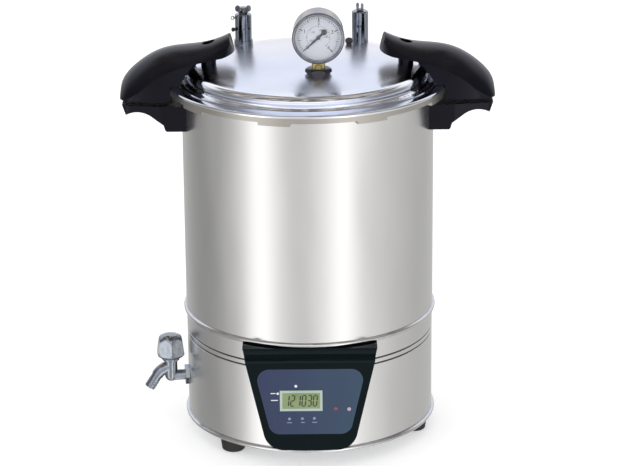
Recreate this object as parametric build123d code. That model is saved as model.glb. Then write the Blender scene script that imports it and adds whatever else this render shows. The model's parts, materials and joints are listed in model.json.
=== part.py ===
# Portable steam steriliser of the eighteen litre class: a stainless vessel on an electric base,
# closed by a domed bayonet lid with a pressure gauge, two valves and moulded handles.
# Millimetres. +Z is up, the floor is z = 0, the control panel faces -Y, the handles lie along X.
from build123d import *
import math
import os

os.makedirs("parts", exist_ok=True)

# Vessel
VESSEL_R = 150.0
VESSEL_WALL = 2.5
VESSEL_FOOT_Z = 154.0
MOUTH_Z = 431.5
MOUTH_NECK_H = 7.5
MOUTH_RING_W = 4.0
LUG_REACH = 7.5
LUG_H = 3.1
LUG_ROOT = 0.8
BOTTOM_PLATE_T = 3.0
BOTTOM_STEP = 4.0
BOTTOM_RIM_H = 14.0
BOTTOM_CORNER_R = 9.0

# Base cabinet
BASE_STEP = 0.5
BASE_WALL = 1.2
BASE_BOTTOM_Z = 18.0
BEAD_OUT = 3.0
BEAD_H = 5.0
MID_LEDGE = 3.0
GROOVE_R = 1.3
GROOVE_DEPTH = 0.8
GROOVE_DROP = 22.5
GROOVE_PITCH = 6.5
BASE_PLATE_T = 1.5
SLOT_COUNT = 12
SLOT_RING_INSET = 70.0
SLOT_LENGTH = 34.0
SLOT_WIDTH = 5.0

# Feet
FOOT_ANGLES = {"front_left": -45.0, "right": 75.0, "rear": 195.0}
FOOT_INSET = 18.0
FOOT_TOP_R = 16.0
FOOT_SOLE_R = 13.5
FOOT_SOLE_CHAMFER = 1.5

# Bayonet: claws of the lid pass down between the lugs of the vessel and turn under them
CLAW_COUNT = 9
CLAW_ANGLE = 13.0
CLAW_OFFSET = -13.5
CLAW_GAP = 0.4
CLAW_T = 3.0
CLAW_SIDE_GAP = 0.5
SKIRT_SIDE_GAP = 2.0
SKIRT_LIFT = 0.6

# Lid
SEAL_T = 3.0
SEAL_FIT = 0.15
SEAL_W = 8.0
SEAL_OVER = 1.0
LID_T = 3.0
DOME_FIT = 1.5
DOME_RISE = 14.4
DOME_KNUCKLE_R = 9.0
DOME_FOOT_R = 4.0
CROWN_RISE = 7.0
DOME_T = 2.5
STEP_RING_OUT = 9.5
STEP_RING_W = 3.0
STEP_RING_H = 0.8
RIM_ROUND = 1.9

# Handles: the upper ones turn with the lid, the lower ones stay on the vessel
HANDLE_OVERHANG = 55.0
HANDLE_REACH_IN = 80.5
HANDLE_SPLIT_GAP = 5.0
HANDLE_SPLIT_DROP = 13.5
HANDLE_FIT = 0.3
HANDLE_SECTIONS = 7
UPPER_CROWN_RISE = 40.8
UPPER_CROWN_SHARE = 0.42
UPPER_BEAK_RISE = 17.0
UPPER_BEAK_LEAN = 6.0
UPPER_TIP_DROP = 48.0
UPPER_HALF_W = 46.0
UPPER_HALF_W_SHARE = 0.65
UPPER_BEAK_HALF_W = 28.5
UPPER_TIP_HALF_W = 27.0
UPPER_WEB_INSET = 3.5
NOSE_L = 45.0
ARCH_TOP_DROP = 6.3
ARCH_SLOPE_SHARE = 0.3
ARCH_END_IN = 13.5
ARCH_POINTS = 9
EAVE_H = 2.0
WEB_HEAD_R = 141.0
WEB_FOOT_R = 157.0
WEB_SLANT_H = 26.0
SCREW_IN = 31.0
SCREW_HEAD_R = 5.5
SCREW_HEAD_H = 3.5
SCREW_RECESS_R = 7.5
SCREW_RECESS_DEPTH = 8.0
BOSS_R = 9.0
LOWER_HALF_W = 46.0
LOWER_TIP_HALF_W = 38.0
LOWER_TIP_ROUND = 14.0
LOWER_SPLIT_IN = 2.5
LOWER_LIP_IN = 7.0
LOWER_LIP_H = 11.5
LOWER_GRIP_MID_IN = 23.5
LOWER_GRIP_RISE = 4.0
LOWER_GRIP_END_IN = 37.5
LOWER_GRIP_END_DROP = 1.0
LOWER_SHOULDER_OUT = 23.0
LOWER_ROOT_H = 30.5
LOWER_ROOT_OUT = 18.0
LOWER_ROOT_TAPER = 2.0
LOWER_ROOT_STEP = 8.0
LOWER_ROOT_CHAMFER = 1.5
STRAP_T = 2.0
STRAP_HALF_W = 38.0
STRAP_H = 24.0

# Pressure gauge
GAUGE_X = 13.0
GAUGE_Y = -57.0
GAUGE_LIFT = 43.6
GAUGE_R = 30.5
GAUGE_FACE_OUT = 13.5
GAUGE_DEPTH = 36.0
BEZEL_DEPTH = 6.0
BEZEL_LIP = 3.5
CASE_INSET = 0.8
GLASS_T = 2.0
DIAL_T = 1.0
DIAL_SINK = 8.0
NEEDLE_T = 0.6
NEEDLE_LIFT = 1.2
NEEDLE_LENGTH = 23.0
NEEDLE_W = 1.8
NEEDLE_TAIL = 7.0
NEEDLE_TAIL_R = 2.8
NEEDLE_HUB_R = 2.2
NEEDLE_REST_ANGLE = 223.0
SPINDLE_R = 0.8
SPINDLE_FIT = 0.06
GAUGE_STEM_W = 13.0
GAUGE_NUT_W = 27.0
GAUGE_NUT_H = 5.0
GAUGE_WASHER_R = 14.0
GAUGE_WASHER_H = 2.0

# Valves on the lid, placed by their angle from the front and their distance in from the knuckle
VALVE_H = 36.5
VALVE_TOP_CHAMFER = 1.2
VENT_R = 1.6
VENT_DEPTH = 4.0
VENT_Z = 23.0
EXHAUST_ANGLE = 218.9
EXHAUST_IN = 9.1
EXHAUST_R = 10.2
EXHAUST_COLLAR_R = 11.5
EXHAUST_COLLAR_H = 4.0
VENT_COUNT = 8
NOZZLE_ANGLE = -70.0
NOZZLE_R = 3.0
NOZZLE_BORE_R = 1.6
NOZZLE_OUT = 6.0
NOZZLE_Z = 21.3
WING_HUB_R = 4.6
WING_HUB_H = 7.0
WING_SPAN = 19.0
WING_TIP_W = 3.0
WING_T = 3.0
WING_H = 10.0
WING_STUD_R = 2.5
WING_STUD_H = 6.0
WING_FIT = 0.08
WING_SEAT_GAP = 0.3
SAFETY_ANGLE = 148.5
SAFETY_IN = 8.2
SAFETY_R = 10.0
STEM_R = 2.2
STEM_FIT = 0.1
STEM_OUT = 8.0
STEM_SUNK = 14.0
EYE_R = 3.6
EYE_BORE_R = 1.6
EYE_T = 1.8
PLUG_ANGLE = 149.0
PLUG_IN = 33.4
PLUG_R = 4.5
PLUG_H = 8.5

# Control panel
PANEL_OUT = 12.5
PANEL_TOP_HALF_W = 79.0
PANEL_LOW_HALF_W = 50.5
PANEL_CLEAR = 3.5
PANEL_CORNER_R = 25.0
PANEL_HOOD_H = 12.0
PANEL_HOOD_BACK = 10.5
PANEL_EDGE_ROUND = 2.0
MEMBRANE_DROP = 22.0
MEMBRANE_FOOT_GAP = 20.5
MEMBRANE_MARGIN = 8.5
MEMBRANE_CORNER_R = 14.0
MEMBRANE_T = 0.8
DISPLAY_X = -10.7
DISPLAY_DROP = 39.4
DISPLAY_W = 50.0
DISPLAY_H = 25.7
DISPLAY_BORDER = 3.0
DISPLAY_PROUD = 0.8
WINDOW_RECESS = 0.4

# Drain tap
TAP_ANGLE = -82.0
TAP_Z = 68.0
TAP_REACH = 22.0
TAP_PIPE_R = 6.5
TAP_NUT_W = 21.0
TAP_NUT_T = 5.0
TAP_FLANGE_T = 1.0
TAP_NECK_R = 7.8
TAP_NECK_UP = 20.0
TAP_BELLY_UP = 0.5
SPOUT_R = 6.4
SPOUT_BORE_R = 4.4
SPOUT_BORE_DEPTH = 24.0
SPOUT_ANGLE = 57.0
SPOUT_END_L = 18.0
SPOUT_SHOULDER = 0.8
SPOUT_ROOT_UP = 12.5
SPOUT_BEND_OUT = 17.0
SPOUT_BEND_Z = 1.6
KNOB_W = 28.5
KNOB_TOP_W = 24.0
KNOB_FOOT_W = 19.0
KNOB_SIDES = 6
KNOB_LIFT = 0.5
KNOB_BELT_H = 7.5
KNOB_H = 30.5
KNOB_CROWN_H = 3.0
KNOB_STEM_R = 2.92
KNOB_FIT = 0.08
KNOB_STEM_UP = 14.0

# Power inlet
INLET_Z = 66.0
INLET_W = 48.0
INLET_H = 30.0
INLET_PROUD = 3.0
INLET_WELL_W = 25.0
INLET_WELL_H = 17.0
INLET_WELL_DEPTH = 14.0
INLET_PIN_T = 2.0
INLET_PIN_W = 4.0
INLET_PIN_L = 10.0
INLET_FIT = 0.2
INLET_PIN_PITCH = 7.0

# Inside the chamber
RACK_SIDE_GAP = 6.5
RACK_T = 2.0
RACK_LEG_R = 4.0
RACK_LEG_H = 26.0
RACK_LEG_INSET = 19.0
RACK_LEG_COUNT = 3
RACK_HOLE_R = 17.0
RACK_HOLE_COUNT = 11
RACK_HOLE_INSET = 49.0
RACK_CENTRE_R = 25.0
HEATER_INSET = 51.5
HEATER_TUBE_R = 5.0
HEATER_LIFT = 11.0
HEATER_GAP_ANGLE = 24.0
HEATER_NUT_R = 9.0
HEATER_NUT_H = 3.0

# Radii and distances that follow from the sizes above
CHAMBER_R = VESSEL_R - VESSEL_WALL
MOUTH_RING_R = VESSEL_R + MOUTH_RING_W
LUG_R = MOUTH_RING_R + LUG_REACH
SKIRT_INNER_R = LUG_R + SKIRT_SIDE_GAP
LID_R = SKIRT_INNER_R + LID_T
CLAW_INNER_R = MOUTH_RING_R + CLAW_SIDE_GAP
CLAW_PITCH = 360.0 / CLAW_COUNT
SEAL_OUTER_R = VESSEL_R + SEAL_OVER
SEAL_INNER_R = SEAL_OUTER_R - SEAL_W
DOME_R = SEAL_INNER_R - DOME_FIT
DOME_FLAT_R = DOME_R - DOME_KNUCKLE_R
STEP_RING_R = DOME_R + STEP_RING_OUT
BASE_R = VESSEL_R - BASE_STEP
BEAD_R = VESSEL_R + BEAD_OUT
HANDLE_TIP_X = LID_R + HANDLE_OVERHANG
HANDLE_BEAK_X = LID_R - HANDLE_REACH_IN
SCREW_X = HANDLE_BEAK_X + SCREW_IN
LOWER_ROOT_X = VESSEL_R + LOWER_ROOT_OUT
PANEL_FRONT_Y = -BASE_R - PANEL_OUT
TAP_X = BASE_R + TAP_REACH
RACK_R = CHAMBER_R - RACK_SIDE_GAP

# Heights that follow from the sizes above
LID_UNDER_Z = MOUTH_Z + SEAL_T
LID_TOP_Z = LID_UNDER_Z + LID_T
DOME_EDGE_Z = LID_TOP_Z + DOME_RISE
CLAW_TOP_Z = MOUTH_Z - LUG_H - CLAW_GAP
CLAW_UNDER_Z = CLAW_TOP_Z - CLAW_T
SKIRT_UNDER_Z = CLAW_TOP_Z + SKIRT_LIFT
PLATE_Z = VESSEL_FOOT_Z + BOTTOM_STEP
FLOOR_Z = PLATE_Z + BOTTOM_PLATE_T
MID_BEAD_Z = VESSEL_FOOT_Z - MID_LEDGE
SPLIT_Z = MOUTH_Z - HANDLE_SPLIT_DROP
UPPER_Z = SPLIT_Z + HANDLE_SPLIT_GAP / 2
LOWER_Z = SPLIT_Z - HANDLE_SPLIT_GAP / 2
LOWER_ROOT_Z = LOWER_Z - LOWER_ROOT_H
LOWER_LIP_Z = LOWER_Z - LOWER_LIP_H
UPPER_CROWN_Z = LID_TOP_Z + UPPER_CROWN_RISE
SCREW_SEAT_Z = UPPER_CROWN_Z - SCREW_RECESS_DEPTH
CROWN_TOP_Z = DOME_EDGE_Z + CROWN_RISE
CROWN_BALL_R = (DOME_FLAT_R ** 2 + CROWN_RISE ** 2) / (2 * CROWN_RISE)
GAUGE_Z = CROWN_TOP_Z + GAUGE_LIFT
VALVE_TOP_Z = DOME_EDGE_Z + CROWN_RISE / 2 + VALVE_H
PANEL_TOP_Z = MID_BEAD_Z
PANEL_LOW_Z = BASE_BOTTOM_Z + BEAD_H + PANEL_CLEAR
MEMBRANE_TOP_Z = PANEL_TOP_Z - MEMBRANE_DROP
MEMBRANE_LOW_Z = PANEL_LOW_Z + MEMBRANE_FOOT_GAP
DISPLAY_Z = MEMBRANE_TOP_Z - DISPLAY_DROP
TAP_NECK_Z = TAP_Z + TAP_NECK_UP
TAP_BELLY_Z = TAP_Z + TAP_BELLY_UP
KNOB_FOOT_Z = TAP_NECK_Z + KNOB_LIFT
BIG = 600.0
TO_TOP = (Align.CENTER, Align.CENTER, Align.MIN)


def save(shape, name):
    export_step(shape, "parts/" + name + ".step")


def disc(radius, low_z, high_z):
    return Pos(0, 0, low_z) * Cylinder(radius, high_z - low_z, align=TO_TOP)


def ring(outer_r, inner_r, low_z, high_z):
    return disc(outer_r, low_z, high_z) - disc(inner_r, low_z, high_z)


def at_angle(angle, shape):
    """Turns a shape that is built at the front to an angle, counted towards the right."""
    return Rot(0, 0, angle) * shape


def around(angle, radius, shape):
    """Puts a shape at a distance and an angle from the front, and keeps the way it faces."""
    return Rot(0, 0, angle) * Pos(0, -radius, 0) * Rot(0, 0, -angle) * shape


def turned(outline):
    """A solid turned about Z from its half section, drawn in X and Z."""
    return revolve(Plane.XZ * make_face(outline), Axis.Z)


def bead(inner_r, outer_r, low_z, high_z):
    """A ring with a half-round outside, like a rolled bead of sheet."""
    start_r = outer_r - (high_z - low_z) / 2
    outline = Line((inner_r, low_z), (start_r, low_z))
    outline += ThreePointArc((start_r, low_z), (outer_r, (low_z + high_z) / 2), (start_r, high_z))
    outline += Line((start_r, high_z), (inner_r, high_z))
    outline += Line((inner_r, high_z), (inner_r, low_z))
    return turned(outline)


def sector(outer_r, inner_r, low_z, high_z, centre_angle, width_angle):
    """A piece of a ring, as wide as the angle, about a direction counted from the front."""
    start = centre_angle - width_angle / 2 - 90
    outline = Line(
        (inner_r * math.cos(math.radians(start)), inner_r * math.sin(math.radians(start))),
        (outer_r * math.cos(math.radians(start)), outer_r * math.sin(math.radians(start))),
    )
    outline += CenterArc((0, 0), outer_r, start, width_angle)
    outline += CenterArc((0, 0), inner_r, start, width_angle)
    end = start + width_angle
    outline += Line(
        (inner_r * math.cos(math.radians(end)), inner_r * math.sin(math.radians(end))),
        (outer_r * math.cos(math.radians(end)), outer_r * math.sin(math.radians(end))),
    )
    return Pos(0, 0, low_z) * extrude(make_face(outline), high_z - low_z)


def crown_z(radius):
    """Height of the lid's crown at a distance from its centre."""
    return CROWN_TOP_Z - CROWN_BALL_R + math.sqrt(CROWN_BALL_R ** 2 - radius ** 2)


def vessel():
    wall = ring(VESSEL_R, CHAMBER_R, VESSEL_FOOT_Z, MOUTH_Z - MOUTH_NECK_H)
    save(wall, "vessel_wall")

    rim_top = FLOOR_Z + BOTTOM_RIM_H
    outer = disc(CHAMBER_R, PLATE_Z, rim_top)
    outer = fillet(outer.edges().group_by(Axis.Z)[0], BOTTOM_CORNER_R)
    inner = disc(CHAMBER_R - BOTTOM_PLATE_T, FLOOR_Z, rim_top + BOTTOM_PLATE_T)
    inner = fillet(inner.edges().group_by(Axis.Z)[0], BOTTOM_CORNER_R - BOTTOM_PLATE_T)
    save(outer - inner, "vessel_bottom")

    mouth = ring(VESSEL_R, CHAMBER_R, MOUTH_Z - MOUTH_NECK_H, MOUTH_Z)
    mouth += ring(MOUTH_RING_R, CHAMBER_R, MOUTH_Z - LUG_H, MOUTH_Z)
    for index in range(CLAW_COUNT):
        lug = sector(
            LUG_R,
            MOUTH_RING_R - LUG_ROOT,
            MOUTH_Z - LUG_H,
            MOUTH_Z,
            CLAW_OFFSET + index * CLAW_PITCH,
            CLAW_ANGLE,
        )
        mouth += lug
    save(mouth, "vessel_mouth")


def chamber_fittings():
    rack_z = FLOOR_Z + RACK_LEG_H
    rack = disc(RACK_R, rack_z, rack_z + RACK_T)
    holes = [Pos(0, 0, rack_z) * loc * Cylinder(RACK_HOLE_R, RACK_T, align=TO_TOP)
             for loc in PolarLocations(RACK_R - RACK_HOLE_INSET, RACK_HOLE_COUNT)]
    rack -= holes
    rack -= disc(RACK_CENTRE_R, rack_z, rack_z + RACK_T)
    legs = [Pos(0, 0, FLOOR_Z) * loc * Cylinder(RACK_LEG_R, RACK_LEG_H, align=TO_TOP)
            for loc in PolarLocations(RACK_R - RACK_LEG_INSET, RACK_LEG_COUNT, start_angle=90)]
    rack += legs
    save(rack, "chamber_rack")

    tube_z = FLOOR_Z + HEATER_LIFT
    half_gap = HEATER_GAP_ANGLE / 2
    coil_r = CHAMBER_R - HEATER_INSET
    path = CenterArc((0, 0, tube_z), coil_r, -90 + half_gap, 360 - HEATER_GAP_ANGLE)
    heater = sweep(Plane(origin=path @ 0, z_dir=path % 0) * Circle(HEATER_TUBE_R), path)
    for end in (path @ 0, path @ 1):
        heater += Pos(end.X, end.Y, FLOOR_Z) * Cylinder(HEATER_TUBE_R, HEATER_LIFT, align=TO_TOP)
        heater += Pos(end.X, end.Y, tube_z) * Sphere(HEATER_TUBE_R)
        nut = extrude(RegularPolygon(HEATER_NUT_R, 6), HEATER_NUT_H)
        heater += Pos(end.X, end.Y, FLOOR_Z) * nut
    save(heater, "heater_element")


def base():
    shell = ring(BASE_R, BASE_R - BASE_WALL, BASE_BOTTOM_Z + BEAD_H, MID_BEAD_Z)
    groove = Torus(BASE_R + GROOVE_R - GROOVE_DEPTH, GROOVE_R)
    for drop in (GROOVE_DROP, GROOVE_DROP + GROOVE_PITCH):
        shell -= Pos(0, 0, MID_BEAD_Z - drop) * groove
    shell -= inlet_block(INLET_FIT)
    save(shell, "base_shell")

    middle = bead(CHAMBER_R, BEAD_R, MID_BEAD_Z, MID_BEAD_Z + 2 * BEAD_OUT)
    middle -= disc(VESSEL_R, VESSEL_FOOT_Z, MOUTH_Z)
    save(middle, "middle_bead")
    low = bead(BASE_R - BASE_WALL, BEAD_R, BASE_BOTTOM_Z, BASE_BOTTOM_Z + BEAD_H)
    save(low, "bottom_bead")

    plate = disc(BASE_R - BASE_WALL, BASE_BOTTOM_Z, BASE_BOTTOM_Z + BASE_PLATE_T)
    slot = extrude(SlotOverall(SLOT_LENGTH, SLOT_WIDTH), BASE_PLATE_T)
    slots = [Pos(0, 0, BASE_BOTTOM_Z) * loc * slot
             for loc in PolarLocations(BASE_R - SLOT_RING_INSET, SLOT_COUNT)]
    save(plate - slots, "base_plate")

    for name, angle in FOOT_ANGLES.items():
        foot = Cone(FOOT_SOLE_R, FOOT_TOP_R, BASE_BOTTOM_Z, align=TO_TOP)
        foot = chamfer(foot.edges().group_by(Axis.Z)[0], FOOT_SOLE_CHAMFER)
        save(around(angle, BASE_R - FOOT_INSET, foot), "foot_" + name)


def panel_front(inset, top_z, low_z, top_round, low_round):
    """Front view of the panel: sides that lean in towards the foot, and round corners."""
    lean = (PANEL_TOP_HALF_W - PANEL_LOW_HALF_W) / (PANEL_TOP_Z - PANEL_LOW_Z)
    top_half = PANEL_TOP_HALF_W - inset - lean * (PANEL_TOP_Z - top_z)
    low_half = PANEL_TOP_HALF_W - inset - lean * (PANEL_TOP_Z - low_z)
    corners = [(-top_half, top_z), (top_half, top_z), (low_half, low_z), (-low_half, low_z)]
    face = make_face(Polyline(*corners, close=True))
    face = fillet(face.vertices().group_by(Axis.Y)[0], low_round)
    if top_round > 0:
        face = fillet(face.vertices().group_by(Axis.Y)[-1], top_round)
    return Plane.XZ * face


def panel_body():
    front = extrude(panel_front(0, PANEL_TOP_Z, PANEL_LOW_Z, 0, PANEL_CORNER_R), BIG / 2)
    hood_y = PANEL_FRONT_Y + PANEL_HOOD_BACK
    hood_z = PANEL_TOP_Z - PANEL_HOOD_H
    lip_y = PANEL_FRONT_Y + PANEL_EDGE_ROUND / 2
    side = Line((0, PANEL_TOP_Z), (hood_y, PANEL_TOP_Z))
    side += ThreePointArc(
        (hood_y, PANEL_TOP_Z),
        ((hood_y + lip_y) / 2 + PANEL_EDGE_ROUND, (PANEL_TOP_Z + hood_z) / 2 - PANEL_EDGE_ROUND),
        (lip_y, hood_z),
    )
    side += Line((lip_y, hood_z), (PANEL_FRONT_Y, hood_z - PANEL_EDGE_ROUND))
    side += Line((PANEL_FRONT_Y, hood_z - PANEL_EDGE_ROUND), (PANEL_FRONT_Y, PANEL_LOW_Z))
    side += Line((PANEL_FRONT_Y, PANEL_LOW_Z), (0, PANEL_LOW_Z))
    side += Line((0, PANEL_LOW_Z), (0, PANEL_TOP_Z))
    slab = extrude(Plane.YZ * make_face(side), BIG / 2, both=True)
    return front & slab


def control_panel():
    body = panel_body() - disc(BASE_R, 0, BIG)
    pocket = panel_front(
        MEMBRANE_MARGIN, MEMBRANE_TOP_Z, MEMBRANE_LOW_Z, MEMBRANE_CORNER_R, MEMBRANE_CORNER_R
    )
    membrane = Pos(0, PANEL_FRONT_Y + MEMBRANE_T, 0) * extrude(pocket, MEMBRANE_T)
    body -= membrane
    save(body, "panel_housing")

    centre = Plane.XZ * Pos(DISPLAY_X, DISPLAY_Z)
    outer = centre * Rectangle(DISPLAY_W, DISPLAY_H)
    inner = centre * Rectangle(DISPLAY_W - 2 * DISPLAY_BORDER, DISPLAY_H - 2 * DISPLAY_BORDER)
    frame_t = MEMBRANE_T + DISPLAY_PROUD
    frame = Pos(0, PANEL_FRONT_Y + MEMBRANE_T, 0) * extrude(outer, frame_t)
    well = Pos(0, PANEL_FRONT_Y + MEMBRANE_T, 0) * extrude(inner, frame_t)
    window = Pos(0, PANEL_FRONT_Y + MEMBRANE_T, 0) * extrude(inner, frame_t - WINDOW_RECESS)
    save(membrane - frame, "panel_membrane")
    save(frame - well, "display_frame")
    save(window, "display_window")


def tap():
    pipe = Pos(0, -BASE_R, TAP_Z) * Rot(90, 0, 0) * Cylinder(TAP_PIPE_R, TAP_REACH, align=TO_TOP)
    neck = Pos(0, -TAP_X, 0) * disc(TAP_NECK_R, TAP_BELLY_Z, TAP_NECK_Z)
    belly = Pos(0, -TAP_X, TAP_BELLY_Z) * Sphere(TAP_NECK_R)
    bend_at = (0, -TAP_X - SPOUT_BEND_OUT, TAP_Z + SPOUT_BEND_Z)
    back = (0, math.cos(math.radians(SPOUT_ANGLE)), math.sin(math.radians(SPOUT_ANGLE)))
    bend = TangentArc(bend_at, (0, -TAP_X, TAP_Z + SPOUT_ROOT_UP), tangent=back)
    spout = sweep(Plane(origin=bend @ 0, z_dir=back) * Circle(SPOUT_R + SPOUT_SHOULDER), bend)
    spout_at = Pos(*bend_at) * Rot(90 + SPOUT_ANGLE, 0, 0)
    spout += spout_at * Cylinder(SPOUT_R, SPOUT_END_L, align=TO_TOP)
    bore = spout_at * Pos(0, 0, SPOUT_END_L - SPOUT_BORE_DEPTH)
    bore = bore * Cylinder(SPOUT_BORE_R, SPOUT_BORE_DEPTH, align=TO_TOP)
    stem = Pos(0, -TAP_X, 0) * disc(KNOB_STEM_R, TAP_NECK_Z, TAP_NECK_Z + KNOB_STEM_UP)
    body = pipe + neck + belly + spout + stem
    body -= bore
    body -= disc(BASE_R, 0, BIG)
    nut = extrude(RegularPolygon(TAP_NUT_W / 2, 6, major_radius=False), TAP_NUT_T)
    nut = Pos(0, -BASE_R, TAP_Z) * Rot(90, 0, 0) * nut
    nut += Pos(0, -BASE_R + TAP_NUT_T, TAP_Z) * Rot(90, 0, 0) * Cylinder(
        TAP_NUT_W / 2, TAP_FLANGE_T, align=TO_TOP)
    nut -= disc(BASE_R, 0, BIG)
    nut -= Pos(0, 0, TAP_Z) * Rot(90, 0, 0) * Cylinder(TAP_PIPE_R, BIG, align=TO_TOP)
    save(at_angle(TAP_ANGLE, body), "tap_body")
    save(at_angle(TAP_ANGLE, nut), "tap_nut")

    levels = [
        (KNOB_FOOT_Z, KNOB_FOOT_W),
        (KNOB_FOOT_Z + KNOB_BELT_H, KNOB_W),
        (KNOB_FOOT_Z + KNOB_H - KNOB_CROWN_H, KNOB_TOP_W),
        (KNOB_FOOT_Z + KNOB_H, KNOB_TOP_W - 2 * KNOB_CROWN_H),
    ]
    sections = [Pos(0, 0, z) * RegularPolygon(width / 2, KNOB_SIDES, major_radius=False)
                for z, width in levels]
    knob = loft(sections, ruled=True)
    knob -= disc(KNOB_STEM_R + KNOB_FIT, KNOB_FOOT_Z, KNOB_FOOT_Z + KNOB_STEM_UP)
    save(at_angle(TAP_ANGLE, Pos(0, -TAP_X, 0) * knob), "tap_knob")


def inlet_block(clearance):
    """The socket's body behind the sheet, or the hole for it with a clearance all round."""
    width = INLET_WELL_W + 2 * INLET_PROUD + 2 * clearance
    height = INLET_WELL_H + 2 * INLET_PROUD + 2 * clearance
    return Pos(0, BASE_R - INLET_WELL_DEPTH / 2, INLET_Z) * Box(width, INLET_WELL_DEPTH, height)


def power_inlet():
    plate = Box(INLET_W, 2 * INLET_PROUD, INLET_H)
    plate = fillet(plate.edges().filter_by(Axis.Y), INLET_PROUD)
    well_depth = INLET_WELL_DEPTH - INLET_PROUD
    well = Pos(0, BASE_R, INLET_Z) * Box(INLET_WELL_W, 2 * well_depth, INLET_WELL_H)
    inlet = Pos(0, BASE_R, INLET_Z) * plate - disc(BASE_R, 0, BIG) + inlet_block(0) - well
    pin_y = BASE_R - well_depth + INLET_PIN_L / 2
    for step in (-1, 0, 1):
        pin = Box(INLET_PIN_T, INLET_PIN_L, INLET_PIN_W)
        inlet += Pos(step * INLET_PIN_PITCH, pin_y, INLET_Z) * pin
    save(inlet, "power_inlet")


def lid():
    seal = ring(SEAL_OUTER_R, SEAL_INNER_R, MOUTH_Z + SEAL_FIT, LID_UNDER_Z - SEAL_FIT)
    save(seal, "lid_seal")
    save(lid_cover(), "lid_cover")

    skirt = ring(LID_R, SKIRT_INNER_R, SKIRT_UNDER_Z, LID_UNDER_Z)
    for index in range(CLAW_COUNT):
        angle = CLAW_OFFSET + index * CLAW_PITCH
        skirt += sector(LID_R, SKIRT_INNER_R, CLAW_UNDER_Z, SKIRT_UNDER_Z, angle, CLAW_ANGLE)
        skirt += sector(LID_R, CLAW_INNER_R, CLAW_UNDER_Z, CLAW_TOP_Z, angle, CLAW_ANGLE)
    save(skirt, "lid_skirt")


def lid_cover():
    """The lid's pressing: a flat rim with a turned step, a knuckle and a crown of one thickness."""
    step_outer_r = STEP_RING_R + STEP_RING_W
    step_z = LID_TOP_Z + STEP_RING_H
    rim = make_face(Polyline(
        (DOME_R - DOME_T, LID_UNDER_Z),
        (LID_R, LID_UNDER_Z),
        (LID_R, LID_TOP_Z),
        (step_outer_r, LID_TOP_Z),
        (step_outer_r, step_z),
        (STEP_RING_R, step_z),
        (STEP_RING_R, LID_TOP_Z),
        (DOME_R, LID_TOP_Z),
        (DOME_R, LID_TOP_Z + DOME_FOOT_R + DOME_T),
        (DOME_R - DOME_T, LID_TOP_Z + DOME_FOOT_R + DOME_T),
        close=True,
    ))
    rim = fillet(rim.vertices().sort_by_distance((LID_R, LID_TOP_Z, 0))[0], RIM_ROUND)
    rim = fillet(rim.vertices().sort_by_distance((DOME_R, LID_TOP_Z, 0))[0], DOME_FOOT_R)
    return revolve(Plane.XZ * rim, Axis.Z) + (dome_solid(0) - dome_solid(DOME_T))


def dome_solid(inset):
    """The raised middle of the lid, from the rim up, or its hollow at one wall's inset."""
    wall_r = DOME_R - inset
    knuckle = DOME_KNUCKLE_R - inset
    turn = knuckle * math.sqrt(0.5)
    top = (0, CROWN_TOP_Z - inset)
    half = (DOME_FLAT_R / 2, crown_z(DOME_FLAT_R / 2) - inset)
    start = (DOME_FLAT_R, DOME_EDGE_Z - inset)
    mid = (DOME_FLAT_R + turn, DOME_EDGE_Z - DOME_KNUCKLE_R + turn)
    end = (wall_r, DOME_EDGE_Z - DOME_KNUCKLE_R)
    outline = ThreePointArc(top, half, start)
    outline += ThreePointArc(start, mid, end)
    outline += Line(end, (wall_r, LID_TOP_Z))
    outline += Line((wall_r, LID_TOP_Z), (0, LID_TOP_Z))
    outline += Line((0, LID_TOP_Z), top)
    return turned(outline)


def lid_envelope():
    """Everything the lid's pressing takes up, with the fit that the handles keep from it."""
    space = disc(LID_R + HANDLE_FIT, UPPER_Z - HANDLE_FIT, LID_TOP_Z + HANDLE_FIT)
    space += disc(
        STEP_RING_R + STEP_RING_W + HANDLE_FIT,
        LID_TOP_Z,
        LID_TOP_Z + STEP_RING_H + HANDLE_FIT,
    )
    corner = DOME_FOOT_R + HANDLE_FIT
    space += Pos(0, 0, LID_TOP_Z) * Cone(DOME_R + corner, DOME_R, corner, align=TO_TOP)
    space += Pos(0, 0, HANDLE_FIT) * dome_solid(-HANDLE_FIT)
    return space


def handle_section(x, crown, eave, half):
    """One section across the upper handle: an arched roof over two upright flanks."""
    outline = Line((-half, UPPER_Z), (half, UPPER_Z))
    outline += Line((half, UPPER_Z), (half, eave))
    outline += ThreePointArc((half, eave), (0, crown), (-half, eave))
    outline += Line((-half, eave), (-half, UPPER_Z))
    return Plane(origin=(x, 0, 0), x_dir=(0, 1, 0), z_dir=(1, 0, 0)) * make_face(outline)


def swell(share, peak, start, full, end):
    """A half width along the handle: it grows to its full size at the peak, then rounds off."""
    if share < peak:
        return full - (full - start) * (1 - share / peak) ** 2
    past = (share - peak) / (1 - peak)
    return end + (full - end) * math.sqrt(1 - past ** 2)


def crown_height(share):
    """The upper handle's crown: a beak that falls to a level back, then a rounded shoulder."""
    if share < UPPER_CROWN_SHARE:
        return UPPER_CROWN_Z + UPPER_BEAK_RISE * (1 - share / UPPER_CROWN_SHARE) ** 2
    past = (share - UPPER_CROWN_SHARE) / (1 - UPPER_CROWN_SHARE)
    fall = (past ** 2 + 1 - math.sqrt(1 - past ** 2)) / 2
    return UPPER_CROWN_Z - UPPER_TIP_DROP * fall


def arch_height(x):
    """The roof's lower edge: almost level over the lid, then down to the split at the tip."""
    start = UPPER_CROWN_Z - ARCH_TOP_DROP
    share = (x - HANDLE_BEAK_X) / (HANDLE_TIP_X - ARCH_END_IN - HANDLE_BEAK_X)
    fall = ARCH_SLOPE_SHARE * share + (1 - ARCH_SLOPE_SHARE) * share ** 4
    return max(UPPER_Z, start - (start - UPPER_Z) * fall)


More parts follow.
